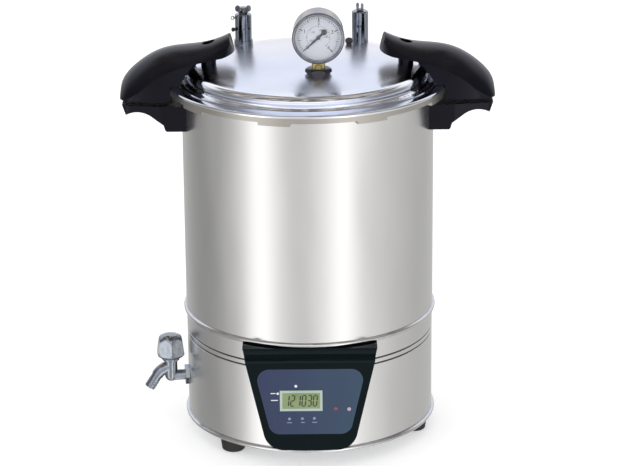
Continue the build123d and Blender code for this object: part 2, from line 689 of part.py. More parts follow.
def handle_form(inset):
    """The upper handle's whole form from the beak to the tip, or the same form drawn in."""
    sections = []
    for step in range(HANDLE_SECTIONS + 1):
        share = (1 - math.cos(math.pi * step / HANDLE_SECTIONS)) / 2
        x = HANDLE_BEAK_X + (HANDLE_TIP_X - HANDLE_BEAK_X) * share
        half = swell(share, UPPER_HALF_W_SHARE, UPPER_BEAK_HALF_W, UPPER_HALF_W, UPPER_TIP_HALF_W)
        eave = max(arch_height(x), UPPER_Z + EAVE_H)
        sections.append(handle_section(x, crown_height(share), eave, half - inset))
    return loft(sections)


def side_slab(outline):
    """A side view, drawn in X and Z, made solid across everything."""
    return extrude(Plane.XZ * make_face(outline), BIG, both=True)


def upper_handle():
    """A roof with an arched lower edge over a web that is set in, round the lid's rim."""
    beak_x = HANDLE_BEAK_X - HANDLE_FIT
    tip_x = HANDLE_TIP_X + HANDLE_FIT
    top = UPPER_CROWN_Z + 2 * UPPER_BEAK_RISE
    arch_end_x = HANDLE_TIP_X - ARCH_END_IN
    step = (arch_end_x - beak_x) / (ARCH_POINTS - 1)
    points = [(beak_x + index * step, arch_height(beak_x + index * step))
              for index in range(ARCH_POINTS)]
    arch = Spline(*points)
    beak_top = (beak_x + UPPER_BEAK_LEAN * (top - points[0][1]) / UPPER_BEAK_RISE, top)
    above = Polyline(points[-1], (tip_x, UPPER_Z), (tip_x, top), beak_top, points[0])
    below = Polyline(points[-1], (beak_x, UPPER_Z), points[0])
    cap = handle_form(0) & side_slab(arch + above)
    nose_x = HANDLE_BEAK_X + NOSE_L
    nose = Pos(nose_x, 0) * Ellipse(NOSE_L, UPPER_HALF_W)
    nose += Pos((nose_x + tip_x) / 2, 0) * Rectangle(tip_x - nose_x, 2 * UPPER_HALF_W)
    cap &= extrude(nose, BIG)
    web = handle_form(UPPER_WEB_INSET) & side_slab(arch + below)
    web -= disc(WEB_HEAD_R, 0, BIG)
    web -= Pos(0, 0, LID_TOP_Z) * Cone(WEB_FOOT_R, WEB_HEAD_R, WEB_SLANT_H, align=TO_TOP)
    handle = cap + web - lid_envelope()
    handle += Pos(SCREW_X, 0, 0) * disc(BOSS_R, DOME_EDGE_Z, SCREW_SEAT_Z)
    handle -= dome_solid(0)
    handle -= Pos(SCREW_X, 0, 0) * disc(SCREW_RECESS_R, SCREW_SEAT_Z, BIG)
    return handle


def lower_handle():
    """The fixed grip: a lip at the tip, a hollow for the fingers and a deep root."""
    inner_x = VESSEL_R / 2
    lip_x = HANDLE_TIP_X - LOWER_LIP_IN
    grip_mid = (HANDLE_TIP_X - LOWER_GRIP_MID_IN, LOWER_LIP_Z + LOWER_GRIP_RISE)
    grip_end = (HANDLE_TIP_X - LOWER_GRIP_END_IN, LOWER_LIP_Z - LOWER_GRIP_END_DROP)
    side = ThreePointArc((lip_x, LOWER_LIP_Z), grip_mid, grip_end)
    side += Polyline(
        grip_end,
        (LOWER_ROOT_X + LOWER_ROOT_TAPER, LOWER_ROOT_Z + LOWER_ROOT_STEP),
        (LOWER_ROOT_X, LOWER_ROOT_Z + LOWER_ROOT_CHAMFER),
        (LOWER_ROOT_X - LOWER_ROOT_CHAMFER, LOWER_ROOT_Z),
        (inner_x, LOWER_ROOT_Z),
        (inner_x, LOWER_Z),
        (HANDLE_TIP_X - LOWER_SPLIT_IN, LOWER_Z),
        (lip_x, LOWER_LIP_Z),
    )
    shoulder_x = VESSEL_R + LOWER_SHOULDER_OUT
    plan = make_face(Polyline(
        (inner_x, -LOWER_HALF_W),
        (shoulder_x, -LOWER_HALF_W),
        (HANDLE_TIP_X, -LOWER_TIP_HALF_W),
        (HANDLE_TIP_X, LOWER_TIP_HALF_W),
        (shoulder_x, LOWER_HALF_W),
        (inner_x, LOWER_HALF_W),
        close=True,
    ))
    plan = fillet(plan.vertices().group_by(Axis.X)[-1], LOWER_TIP_ROUND)
    handle = side_slab(side) & extrude(plan, BIG)
    handle -= disc(VESSEL_R, 0, BIG)
    handle -= strap(HANDLE_FIT)
    return handle


def strap(clearance):
    """The steel strap on the vessel that the lower handle is screwed to."""
    low = (LOWER_Z + LOWER_ROOT_Z) / 2 - STRAP_H / 2
    angle = 2 * math.degrees(math.asin(STRAP_HALF_W / VESSEL_R))
    grow = math.degrees(clearance / VESSEL_R) * 2
    return sector(
        VESSEL_R + STRAP_T + clearance,
        VESSEL_R,
        low - clearance,
        low + STRAP_H + clearance,
        90,
        angle + grow,
    )


def handles():
    upper = upper_handle()
    lower = lower_handle()
    plate = strap(0)
    screw = Pos(SCREW_X, 0, 0) * disc(SCREW_HEAD_R, SCREW_SEAT_Z, SCREW_SEAT_Z + SCREW_HEAD_H)
    pieces = {
        "upper_handle": upper,
        "handle_screw": screw,
        "lower_handle": lower,
        "handle_strap": plate,
    }
    for name, piece in pieces.items():
        save(piece, name + "_right")
        save(Rot(0, 0, 180) * piece, name + "_left")


def gauge():
    face_y = GAUGE_Y - GAUGE_FACE_OUT
    front = Pos(GAUGE_X, face_y, GAUGE_Z) * Rot(-90, 0, 0)
    bezel_in = GAUGE_R - BEZEL_LIP
    bezel = front * Cylinder(GAUGE_R, BEZEL_DEPTH, align=TO_TOP)
    bezel = fillet(bezel.edges().group_by(Axis.Y)[0], BEZEL_LIP / 2)
    bezel -= front * Cylinder(bezel_in, BEZEL_DEPTH, align=TO_TOP)
    save(bezel, "gauge_bezel")

    case_r = GAUGE_R - CASE_INSET
    case = front * Pos(0, 0, BEZEL_DEPTH) * Cylinder(case_r, GAUGE_DEPTH - BEZEL_DEPTH, align=TO_TOP)
    case = fillet(case.edges().group_by(Axis.Y)[-1], BEZEL_LIP)
    hollow = front * Pos(0, 0, BEZEL_DEPTH)
    case -= hollow * Cylinder(bezel_in, DIAL_SINK - BEZEL_DEPTH + DIAL_T, align=TO_TOP)
    spindle = front * Pos(0, 0, DIAL_SINK - NEEDLE_LIFT - NEEDLE_T)
    spindle = spindle * Cylinder(SPINDLE_R, NEEDLE_LIFT + NEEDLE_T, align=TO_TOP)
    dial = front * Pos(0, 0, DIAL_SINK) * Cylinder(bezel_in, DIAL_T, align=TO_TOP)
    save(case, "gauge_case")
    save(dial + spindle, "gauge_dial")
    glass = front * Pos(0, 0, GLASS_T / 2) * Cylinder(bezel_in, GLASS_T, align=TO_TOP)
    save(glass, "gauge_glass")

    length = NEEDLE_LENGTH
    arm = make_face(Polyline(
        (-NEEDLE_TAIL, -NEEDLE_W / 2),
        (0, -NEEDLE_W / 2),
        (length, 0),
        (0, NEEDLE_W / 2),
        (-NEEDLE_TAIL, NEEDLE_W / 2),
        close=True,
    ))
    blade = arm + Circle(NEEDLE_HUB_R) + Pos(-NEEDLE_TAIL, 0) * Circle(NEEDLE_TAIL_R)
    blade -= Circle(SPINDLE_R + SPINDLE_FIT)
    needle = extrude(blade, NEEDLE_T)
    seat_y = face_y + DIAL_SINK - NEEDLE_LIFT
    needle = Rot(90, 0, 0) * Rot(0, 0, NEEDLE_REST_ANGLE) * needle
    save(Pos(GAUGE_X, seat_y, GAUGE_Z) * needle, "gauge_needle")

    seat = crown_z(math.hypot(GAUGE_X, GAUGE_Y))
    nut_z = seat + GAUGE_WASHER_H
    washer = Pos(GAUGE_X, GAUGE_Y, 0) * disc(GAUGE_WASHER_R, DOME_EDGE_Z, nut_z)
    save(washer - dome_solid(0), "gauge_washer")
    nut = extrude(RegularPolygon(GAUGE_NUT_W / 2, 6, major_radius=False), GAUGE_NUT_H)
    save(Pos(GAUGE_X, GAUGE_Y, nut_z) * nut, "gauge_nut")
    stem_low = nut_z + GAUGE_NUT_H
    stem_h = GAUGE_Z - stem_low
    stem = Pos(GAUGE_X, GAUGE_Y, stem_low) * Box(GAUGE_STEM_W, GAUGE_STEM_W, stem_h, align=TO_TOP)
    whole_case = front * Pos(0, 0, BEZEL_DEPTH)
    whole_case = whole_case * Cylinder(case_r, GAUGE_DEPTH - BEZEL_DEPTH, align=TO_TOP)
    bezel_space = front * Cylinder(GAUGE_R, BEZEL_DEPTH, align=TO_TOP)
    save(stem - whole_case - bezel_space, "gauge_stem")


def valves():
    lid_form = dome_solid(0)
    top_z = VALVE_TOP_Z
    exhaust_r = DOME_FLAT_R - EXHAUST_IN
    body = disc(EXHAUST_R, LID_TOP_Z, top_z)
    body = chamfer(body.edges().group_by(Axis.Z)[-1], VALVE_TOP_CHAMFER)
    body += disc(EXHAUST_COLLAR_R, LID_TOP_Z, top_z - VALVE_H + EXHAUST_COLLAR_H)
    for loc in PolarLocations(EXHAUST_R - VENT_DEPTH, VENT_COUNT):
        vent = Pos(0, 0, DOME_EDGE_Z + VENT_Z) * loc * Rot(0, 90, 0)
        body -= vent * Cylinder(VENT_R, 2 * VENT_DEPTH, align=TO_TOP)
    stud_r = WING_STUD_R - WING_FIT
    body += disc(stud_r, top_z, top_z + WING_STUD_H)
    save(around(EXHAUST_ANGLE, exhaust_r, body) - lid_form, "exhaust_valve_body")

    nozzle = Pos(0, 0, DOME_EDGE_Z + NOZZLE_Z) * Rot(90, 0, 0)
    tube = nozzle * Cylinder(NOZZLE_R, EXHAUST_R + NOZZLE_OUT, align=TO_TOP)
    tube -= nozzle * Cylinder(NOZZLE_BORE_R, EXHAUST_R + NOZZLE_OUT, align=TO_TOP)
    tube -= disc(EXHAUST_R, 0, BIG)
    save(around(EXHAUST_ANGLE, exhaust_r, at_angle(NOZZLE_ANGLE, tube)), "exhaust_nozzle")

    hub = Cylinder(WING_HUB_R, WING_HUB_H, align=TO_TOP)
    hub += extrude(Plane.XZ * wing_outline(), WING_T / 2, both=True)
    hub -= Cylinder(WING_STUD_R, WING_STUD_H + WING_SEAT_GAP, align=TO_TOP)
    hub = Pos(0, 0, top_z + WING_SEAT_GAP) * hub
    save(around(EXHAUST_ANGLE, exhaust_r, hub), "exhaust_wing_knob")

    safety_r = DOME_FLAT_R - SAFETY_IN
    body = disc(SAFETY_R, LID_TOP_Z, top_z)
    body = chamfer(body.edges().group_by(Axis.Z)[-1], VALVE_TOP_CHAMFER)
    bore_r = STEM_R + STEM_FIT
    body -= disc(bore_r, top_z - STEM_SUNK - WING_SEAT_GAP, top_z)
    vent = Pos(0, -SAFETY_R, DOME_EDGE_Z + VENT_Z) * Rot(90, 0, 0)
    body -= vent * Cylinder(VENT_R, 2 * VENT_DEPTH)
    save(around(SAFETY_ANGLE, safety_r, body) - lid_form, "safety_valve_body")
    stem = disc(STEM_R, top_z - STEM_SUNK, top_z + STEM_OUT)
    eye = Pos(0, 0, top_z + STEM_OUT) * Rot(90, 0, 0)
    stem += eye * Cylinder(EYE_R, EYE_T)
    stem -= eye * Cylinder(EYE_BORE_R, 2 * STEM_R)
    save(around(SAFETY_ANGLE, safety_r, stem), "safety_valve_stem")

    plug_r = DOME_FLAT_R - PLUG_IN
    plug = around(PLUG_ANGLE, plug_r, disc(PLUG_R, DOME_EDGE_Z, crown_z(plug_r) + PLUG_H))
    plug = fillet(plug.edges().group_by(Axis.Z)[-1], PLUG_R / 2)
    save(plug - lid_form, "relief_plug")


def wing_outline():
    """Front view of the wing knob: two ears that rise from the hub, with a saddle between them."""
    half = WING_SPAN / 2
    ears = make_face(Polyline(
        (-WING_HUB_R, 0),
        (WING_HUB_R, 0),
        (half, WING_H / 2),
        (half, WING_H),
        (-half, WING_H),
        (-half, WING_H / 2),
        close=True,
    ))
    return ears - Pos(0, WING_H) * Ellipse(half - WING_TIP_W, WING_H / 2)


vessel()
chamber_fittings()
base()
control_panel()
tap()
power_inlet()
lid()
handles()
gauge()
valves()
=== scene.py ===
# %% [markdown]
# A portable steam steriliser, dressed on top of its CAD model.
# The CAD model gives every piece its size and place. This file gives the pieces their finishes
# and adds the small things that a drawing leaves out, such as the marks on the dial.

# %% Load the fixed frame
import bpy
import bmesh
import json
import math
from mathutils import Matrix, Vector


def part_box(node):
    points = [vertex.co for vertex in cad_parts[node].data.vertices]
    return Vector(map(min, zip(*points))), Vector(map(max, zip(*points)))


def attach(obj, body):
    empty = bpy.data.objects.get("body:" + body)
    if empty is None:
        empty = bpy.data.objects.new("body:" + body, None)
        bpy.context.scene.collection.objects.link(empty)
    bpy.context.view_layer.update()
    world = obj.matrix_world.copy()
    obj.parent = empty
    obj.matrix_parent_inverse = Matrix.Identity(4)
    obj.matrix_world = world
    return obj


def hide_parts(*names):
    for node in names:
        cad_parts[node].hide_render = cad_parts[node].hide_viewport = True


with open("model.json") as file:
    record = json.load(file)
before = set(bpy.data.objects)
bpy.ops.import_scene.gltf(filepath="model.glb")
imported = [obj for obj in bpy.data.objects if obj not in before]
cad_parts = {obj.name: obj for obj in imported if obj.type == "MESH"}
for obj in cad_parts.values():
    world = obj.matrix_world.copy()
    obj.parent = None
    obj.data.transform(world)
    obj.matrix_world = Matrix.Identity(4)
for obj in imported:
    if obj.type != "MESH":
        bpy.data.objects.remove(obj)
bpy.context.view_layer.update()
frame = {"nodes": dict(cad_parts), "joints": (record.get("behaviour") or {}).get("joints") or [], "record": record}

nodes = frame["nodes"]

# %% [markdown]
# Colours are written the way a paint chart gives them, as a hex code. Blender mixes light in
# linear values, so one small function turns the one into the other.

# %% Colour helper
def linear(hex_code):
    """An RGBA colour in linear light from a six figure hex code."""
    parts = [int(hex_code[i:i + 2], 16) / 255 for i in (0, 2, 4)]
    return [p / 12.92 if p <= 0.04045 else ((p + 0.055) / 1.055) ** 2.4 for p in parts] + [1.0]


print("mid grey in linear light:", round(linear("808080")[0], 3))

# %% [markdown]
# A material is a small network of nodes. Two helpers keep the cells short: one adds a node and
# sets its inputs, a number or a link, and the other starts a material with its main shader.

# %% Node helpers
def add_node(tree, kind, settings=None, **inputs):
    """Adds one node. Settings are its options, and inputs are values or sockets to link from."""
    node = tree.nodes.new(kind)
    for name, value in (settings or {}).items():
        setattr(node, name, value)
    for name, value in inputs.items():
        key = int(name[1:]) if name[0] == "i" and name[1:].isdigit() else name.replace("_", " ")
        if isinstance(value, bpy.types.NodeSocket):
            tree.links.new(value, node.inputs[key])
        else:
            node.inputs[key].default_value = value
    return node


def new_material(name, colour, roughness, metallic=0.0, **extra):
    """A material with one main shader, and its tree and shader for more nodes."""
    material = bpy.data.materials.new(name)
    material.use_nodes = True
    tree = material.node_tree
    shader = tree.nodes["Principled BSDF"]
    shader.inputs["Base Color"].default_value = linear(colour)
    shader.inputs["Roughness"].default_value = roughness
    shader.inputs["Metallic"].default_value = metallic
    for socket, value in extra.items():
        shader.inputs[socket.replace("_", " ")].default_value = value
    return material, tree, shader


# %% [markdown]
# No surface is quite even, so most finishes need the same three things: a slow change of tone, a
# slow change of gloss and a fine relief. All come from noise that is measured in the object's own
# coordinates, so the scale of a pattern is a real size in millimetres.

# %% Noise, and what it does to a surface
MM = 0.001


def object_noise(tree, size_mm, detail=2.0, stretch=(1.0, 1.0, 1.0)):
    """Noise whose grains are about size_mm across, or longer along an axis by its stretch."""
    place = add_node(tree, "ShaderNodeTexCoord")
    scale = [1 / (size_mm * MM * s) for s in stretch]
    mapping = add_node(tree, "ShaderNodeMapping", Vector=place.outputs["Object"], Scale=scale)
    return add_node(
        tree, "ShaderNodeTexNoise", Vector=mapping.outputs["Vector"], Scale=1.0, Detail=detail
    ).outputs["Fac"]


def coordinates(tree):
    """The object's coordinates as one vector and as three numbers."""
    place = add_node(tree, "ShaderNodeTexCoord").outputs["Object"]
    return place, add_node(tree, "ShaderNodeSeparateXYZ", Vector=place).outputs


def make_uneven(tree, shader, cloud, grain, tones, gloss, depth_mm):
    """Lets a cloud change the tone and the gloss of a surface, and a grain its relief."""
    shade = add_node(
        tree, "ShaderNodeMix", {"data_type": "RGBA"},
        i0=cloud, i6=linear(tones[0]), i7=linear(tones[1])
    )
    tree.links.new(shade.outputs[2], shader.inputs["Base Color"])
    rough = add_node(
        tree, "ShaderNodeMapRange", Value=cloud,
        From_Min=0.3, From_Max=0.7, To_Min=gloss[0], To_Max=gloss[1]
    )
    tree.links.new(rough.outputs["Result"], shader.inputs["Roughness"])
    bump = add_node(tree, "ShaderNodeBump", Height=grain, Distance=depth_mm * MM)
    tree.links.new(bump.outputs["Normal"], shader.inputs["Normal"])


# %% [markdown]
# The wall, the base and the skirt are stainless sheet that was drawn and then brushed round its
# circumference. The brush leaves fine level scratches, so a reflection is smeared up and down and
# shows as upright bands. Anisotropy with a tangent that runs round Z gives that smear. The
# scratches are noise, long round the wall and thin in height. Real ones are finer than a tenth of
# a millimetre, and these are drawn a little coarser so that they show. The vessel's inside is a
# duller skin that was never brushed. The two rolled grooves of the base get painted shade: a
# darker colour in narrow bands at their heights, where light doesn't reach into them.

# %% Brushed stainless steel, drawn sheet
SCRATCH_LENGTH = 40.0
SCRATCH_HEIGHT = 0.3
WALL_RADIUS = 150.0


def brushed_steel(name, tones, roughness, anisotropy, scratch_mm):
    material, tree, shader = new_material(name, tones[1], roughness, 1.0, Anisotropic=anisotropy)
    xyz = coordinates(tree)[1]
    angle = add_node(tree, "ShaderNodeMath", {"operation": "ARCTAN2"}, i0=xyz["Y"], i1=xyz["X"])
    along = add_node(
        tree, "ShaderNodeMath", {"operation": "MULTIPLY"},
        i0=angle.outputs["Value"], i1=WALL_RADIUS / SCRATCH_LENGTH
    )
    up = add_node(
        tree, "ShaderNodeMath", {"operation": "MULTIPLY"},
        i0=xyz["Z"], i1=1 / (SCRATCH_HEIGHT * MM)
    )
    round_the_wall = add_node(
        tree, "ShaderNodeCombineXYZ", X=along.outputs["Value"], Y=up.outputs["Value"]
    )
    scratches = add_node(
        tree, "ShaderNodeTexNoise", Vector=round_the_wall.outputs["Vector"], Scale=1.0, Detail=3.0
    ).outputs["Fac"]
    cloud = object_noise(tree, 60.0, 2.0, (1.0, 1.0, 4.0))
    gloss = (roughness - 0.03, roughness + 0.04)
    make_uneven(tree, shader, cloud, scratches, tones, gloss, scratch_mm)
    tangent = add_node(tree, "ShaderNodeTangent", {"direction_type": "RADIAL", "axis": "Z"})
    tree.links.new(tangent.outputs["Tangent"], shader.inputs["Tangent"])
    return material


SHEET_FINISH = (("D0CFCE", "E6E5E4"), 0.22, 0.85, 0.0022)
wall_steel = brushed_steel("brushed_stainless_sheet", *SHEET_FINISH)
vessel_steel = brushed_steel("brushed_stainless_vessel", *SHEET_FINISH)
base_steel = brushed_steel("brushed_stainless_base", *SHEET_FINISH)
skirt_steel = brushed_steel("satin_stainless_skirt", ("A5A199", "BFBBB3"), 0.34, 0.5, 0.003)
print("made", [m.name for m in (wall_steel, vessel_steel, base_steel, skirt_steel)])

# %% The vessel's inside, and painted shade in the base's grooves
INSIDE_WITHIN = 0.1495
INSIDE_METAL = 0.45
INSIDE_ROUGHER = 0.24
GROOVE_HEIGHTS = (0.1285, 0.1220)
GROOVE_SHADE_HALF = 0.0009
# Colour of the painted shade in the base's grooves.
GROOVE_TONE = "5A5550"


def distance_from_axis(tree):
    """How far a point is from the vessel's axis."""
    flat = add_node(
        tree, "ShaderNodeVectorMath", {"operation": "MULTIPLY"},
        i0=coordinates(tree)[0], i1=(1.0, 1.0, 0.0)
    )
    return add_node(
        tree, "ShaderNodeVectorMath", {"operation": "LENGTH"}, i0=flat.outputs["Vector"]
    ).outputs["Value"]


def dull_inside(material, radius):
    """A duller skin within a radius, where the sheet was pickled and never brushed."""
    tree = material.node_tree
    shader = tree.nodes["Principled BSDF"]
    inside = add_node(
        tree, "ShaderNodeMath", {"operation": "LESS_THAN"}, i0=distance_from_axis(tree), i1=radius
    ).outputs[0]
    metal = add_node(tree, "ShaderNodeMapRange", Value=inside, To_Min=1.0, To_Max=INSIDE_METAL)
    tree.links.new(metal.outputs["Result"], shader.inputs["Metallic"])
    rougher = add_node(
        tree, "ShaderNodeMath", {"operation": "MULTIPLY_ADD"}, i0=inside,
        i1=INSIDE_ROUGHER, i2=shader.inputs["Roughness"].links[0].from_socket
    )
    tree.links.new(rougher.outputs[0], shader.inputs["Roughness"])


def darken_grooves(material, heights, half_width):
    """Painted shade: a darker colour in bands at the given heights, where light doesn't reach."""
    tree = material.node_tree
    base_colour = tree.nodes["Principled BSDF"].inputs["Base Color"]
    height_here = coordinates(tree)[1]["Z"]
    tone = base_colour.links[0].from_socket
    for height in heights:
        inside = add_node(
            tree, "ShaderNodeMath", {"operation": "COMPARE"},
            i0=height_here, i1=height, i2=half_width
        )
        tone = add_node(
            tree, "ShaderNodeMix", {"data_type": "RGBA"},
            i0=inside.outputs[0], i6=tone, i7=linear(GROOVE_TONE)
        ).outputs[2]
    tree.links.new(tone, base_colour)


dull_inside(vessel_steel, INSIDE_WITHIN)
# Painted shade in the base's two rolled grooves.
darken_grooves(base_steel, GROOVE_HEIGHTS, GROOVE_SHADE_HALF)
print("the inside within", INSIDE_WITHIN, "m is dull, grooves at", GROOVE_HEIGHTS)

# %% [markdown]
# The lid is spun over a form. Its crown has a satin finish that blurs a reflection to a soft stain,
# and its knuckle and rim are buffed bright. Two fine grooves are turned in the rim. All of this
# depends only on the distance from the axis, so one number drives the roughness and the relief.

# %% Spun stainless steel of the lid
SATIN_OUT_TO = 0.118
BRIGHT_FROM = 0.131
TURNED_GROOVES = (0.1476, 0.1572)
GROOVE_HALF_WIDTH = 0.0004
GROOVE_DEPTH_MM = 0.15
SPIN_PITCH = 1.6
SPIN_DEPTH = 0.012


def spun_steel(name, tones, satin, bright):
    """Satin inside and bright outside, with the rings of the spinning and two turned grooves."""
    material, tree, shader = new_material(name, tones[1], bright, 1.0)
    radius = distance_from_axis(tree)
    pitch = add_node(
        tree, "ShaderNodeMath", {"operation": "MULTIPLY"}, i0=radius, i1=1 / (SPIN_PITCH * MM)
    )
    rings = add_node(
        tree, "ShaderNodeTexNoise", {"noise_dimensions": "1D"},
        W=pitch.outputs[0], Scale=1.0, Detail=2.0
    )
    height = add_node(
        tree, "ShaderNodeMath", {"operation": "MULTIPLY"}, i0=rings.outputs["Fac"], i1=SPIN_DEPTH
    ).outputs[0]
    for groove in TURNED_GROOVES:
        inside = add_node(
            tree, "ShaderNodeMath", {"operation": "COMPARE"},
            i0=radius, i1=groove, i2=GROOVE_HALF_WIDTH
        )
        height = add_node(
            tree, "ShaderNodeMath", {"operation": "SUBTRACT"}, i0=height, i1=inside.outputs[0]
        ).outputs[0]
    cloud = object_noise(tree, 45.0)
    make_uneven(tree, shader, cloud, height, tones, (satin, satin), GROOVE_DEPTH_MM)
    finish = add_node(
        tree, "ShaderNodeMapRange", {"interpolation_type": "SMOOTHSTEP"}, Value=radius,
        From_Min=SATIN_OUT_TO, From_Max=BRIGHT_FROM, To_Min=satin, To_Max=bright
    )
    tree.links.new(finish.outputs["Result"], shader.inputs["Roughness"])
    return material


lid_steel = spun_steel("spun_stainless_lid", ("DCDFE6", "ECEFF5"), 0.27, 0.11)
print("made", lid_steel.name)

# %% [markdown]
# Small fittings are plated, turned or blackened. Each is one metal with a little unevenness, so
# that it doesn't look like a perfect ball bearing.

# %% Small metals
def small_metal(name, tones, roughness, grain_mm, depth_mm):
    material, tree, shader = new_material(name, tones[1], roughness, 1.0)
    grain = object_noise(tree, grain_mm, 3.0)
    gloss = (max(0.03, roughness - 0.04), roughness + 0.05)
    make_uneven(tree, shader, grain, grain, tones, gloss, depth_mm)
    return material


chrome = small_metal("chrome_plated_brass", ("7C8289", "A6ABB2"), 0.09, 6.0, 0.002)
brass = small_metal("turned_brass", ("A9955A", "D3C48C"), 0.24, 4.0, 0.002)
black_oxide = small_metal("black_oxide_steel", ("36363A", "626266"), 0.32, 1.5, 0.006)
bead_steel = small_metal("rolled_stainless_bead", ("C6C5C4", "E2E1E0"), 0.16, 8.0, 0.002)
gauge_steel = small_metal("polished_stainless_gauge", ("6A6C72", "A2A4AA"), 0.12, 5.0, 0.002)
zinc_steel = small_metal("zinc_plated_sheet", ("9A9DA0", "B8BABC"), 0.36, 12.0, 0.006)
screw_steel = small_metal("zinc_plated_screw", ("5E6064", "8A8C90"), 0.26, 2.0, 0.004)
dark_nickel = small_metal("black_nickel_plate", ("5C5C60", "96979B"), 0.18, 3.0, 0.003)
small_metals = (
    chrome, brass, black_oxide, bead_steel, gauge_steel, zinc_steel, screw_steel, dark_nickel
)
print("made", [m.name for m in small_metals])

# %% [markdown]
# The handles are compression moulded phenolic. The mould was sparked, so the skin has a very fine
# even grain under a semi-gloss sheen. The housing of the panel is a glossier moulding, and the
# panel's front is a printed polyester film. The feet and seals are moulded rubber.

# %% Mouldings, film and rubber
def moulding(name, tones, roughness, grain_mm, depth_mm, **extra):
    material, tree, shader = new_material(name, tones[0], roughness, 0.0, **extra)
    gloss = (roughness - 0.03, roughness + 0.05)
    cloud = object_noise(tree, 35.0)
    make_uneven(tree, shader, cloud, object_noise(tree, grain_mm), tones, gloss, depth_mm)
    return material


BLUISH_SHEEN = (0.80, 0.80, 1.0, 1.0)
phenolic = moulding(
    "black_phenolic_moulding", ("050508", "0B0B12"), 0.25, 0.7, 0.005,
    Specular_IOR_Level=0.24, Specular_Tint=BLUISH_SHEEN
)
gloss_abs = moulding(
    "black_gloss_abs", ("02090C", "061014"), 0.14, 1.4, 0.002,
    Specular_IOR_Level=0.18, Specular_Tint=(0.75, 0.95, 1.0, 1.0)
)
frame_film = moulding("pale_green_print", ("A6BAAC", "C6D6CA"), 0.45, 0.8, 0.003)
foot_rubber = moulding("black_moulded_rubber", ("171717", "242424"), 0.62, 1.0, 0.020)
seal_rubber = moulding("white_silicone_seal", ("D6D5D0", "E4E3DE"), 0.50, 1.2, 0.010)
plug_rubber = moulding("red_silicone_plug", ("2C282B", "4A3A3D"), 0.28, 1.2, 0.008)
dial_enamel = moulding("white_dial_enamel", ("D9DDE8", "EBEEF6"), 0.38, 2.0, 0.002)
lcd_film = moulding("liquid_crystal_green", ("74895A", "A3B184"), 0.25, 9.0, 0.001)
segment_ink = moulding("liquid_crystal_dark", ("26331F", "344128"), 0.35, 0.6, 0.001)
dial_ink = moulding("grey_dial_print", ("1C1E24", "2C2E36"), 0.55, 0.6, 0.001)
white_ink = moulding("white_print_ink", ("E4E8F0", "F6F8FC"), 0.50, 0.6, 0.001)
lilac_ink = moulding("pale_lilac_print", ("868BB2", "9EA3C6"), 0.55, 0.6, 0.001)
red_lens = moulding("red_lamp_lens", ("8A3A50", "A84A5C"), 0.22, 2.0, 0.002)
rose_lens = moulding("rose_lamp_lens", ("B49AB8", "CBB4CC"), 0.22, 2.0, 0.002)
needle_paint = moulding("black_needle_paint", ("101018", "16161F"), 0.42, 0.8, 0.002)
print("made the mouldings and inks")

# %% [markdown]
# The panel's film is printed blue on its back and has a fine matt texture on its front. The print
# runs from a bluer left end to a greener right end, so the tone follows X and the cloud only adds
# to it.

# %% Printed film of the panel
FILM_HALF_WIDTH = 0.060
blue_film, film_tree, film_shader = new_material("blue_polyester_film", "303A5C", 0.40)
film_share = add_node(
    film_tree, "ShaderNodeMapRange", Value=coordinates(film_tree)[1]["X"],
    From_Min=-FILM_HALF_WIDTH, From_Max=FILM_HALF_WIDTH, To_Min=0.0, To_Max=1.0
)
film_noise = object_noise(film_tree, 30.0)
film_cloud = add_node(
    film_tree, "ShaderNodeMix", Factor=0.7, A=film_noise, B=film_share.outputs["Result"]
)
make_uneven(
    film_tree, film_shader, film_cloud.outputs[0], object_noise(film_tree, 0.8),
    ("2A3158", "304A60"), (0.34, 0.46), 0.004
)
print("made", blue_film.name)

# %% [markdown]
# The gauge's window is thin flat glass. A thin sheet bends light so little that a nearly clear
# surface with a sharp reflection does the work of real glass, and the dial keeps its light.

# %% Window glass
window_glass = new_material("thin_window_glass", "F4F8FA", 0.03, 0.0, Alpha=0.06)[0]
print("made", window_glass.name)

# %% [markdown]
# Every CAD piece keeps its shape and takes the finish of the real one. The record's slots name
# the finish of each piece, so one table from slot to material dresses the whole model, and a
# second short one names the few pieces that differ from the rest of their slot.

# %% Dress the CAD pieces
finish_of_slot = {
    "brushed_stainless": wall_steel,
    "polished_stainless": bead_steel,
    "galvanised_steel": zinc_steel,
    "dark_steel": black_oxide,
    "chrome_plate": chrome,
    "plain_brass": brass,
    "black_phenolic": phenolic,
    "black_gloss_moulding": gloss_abs,
    "blue_membrane": blue_film,
    "pale_frame": frame_film,
    "display_green": lcd_film,
    "black_rubber": foot_rubber,
    "white_silicone": seal_rubber,
    "red_silicone": plug_rubber,
    "white_dial": dial_enamel,
    "black_paint": needle_paint,
    "clear_glass": window_glass,
}
finish_of_piece = {
    "lid_cover": lid_steel,
    "lid_skirt": skirt_steel,
    "base_shell": base_steel,
    "vessel_wall": vessel_steel,
    "gauge_case": gauge_steel,
    "exhaust_wing_knob": dark_nickel,
}
slot_of = {part["node"]: part["material_slot"] for part in frame["record"]["subparts"]}
for name, piece in nodes.items():
    piece.data.materials.clear()
    piece.data.materials.append(finish_of_piece.get(name, finish_of_slot[slot_of[name]]))
print("dressed", len(nodes), "pieces")

# %% [markdown]
# The small pieces that follow are drawn in millimetres about their own axis and then put in place
# by a matrix. Two ways of drawing cover nearly all of them: an outline turned about the axis, as on
# a lathe, and a flat outline given a thickness, as a plate. Each shape has its doubles merged, so
# that its seam and its poles are closed.

# %% Drawing helpers
SMOOTH_BELOW = math.radians(32)


def close_up(build, before):
    """Merges the doubles of the points that were added since a count was taken."""
    build.verts.ensure_lookup_table()
    bmesh.ops.remove_doubles(build, verts=build.verts[before:], dist=1e-7)


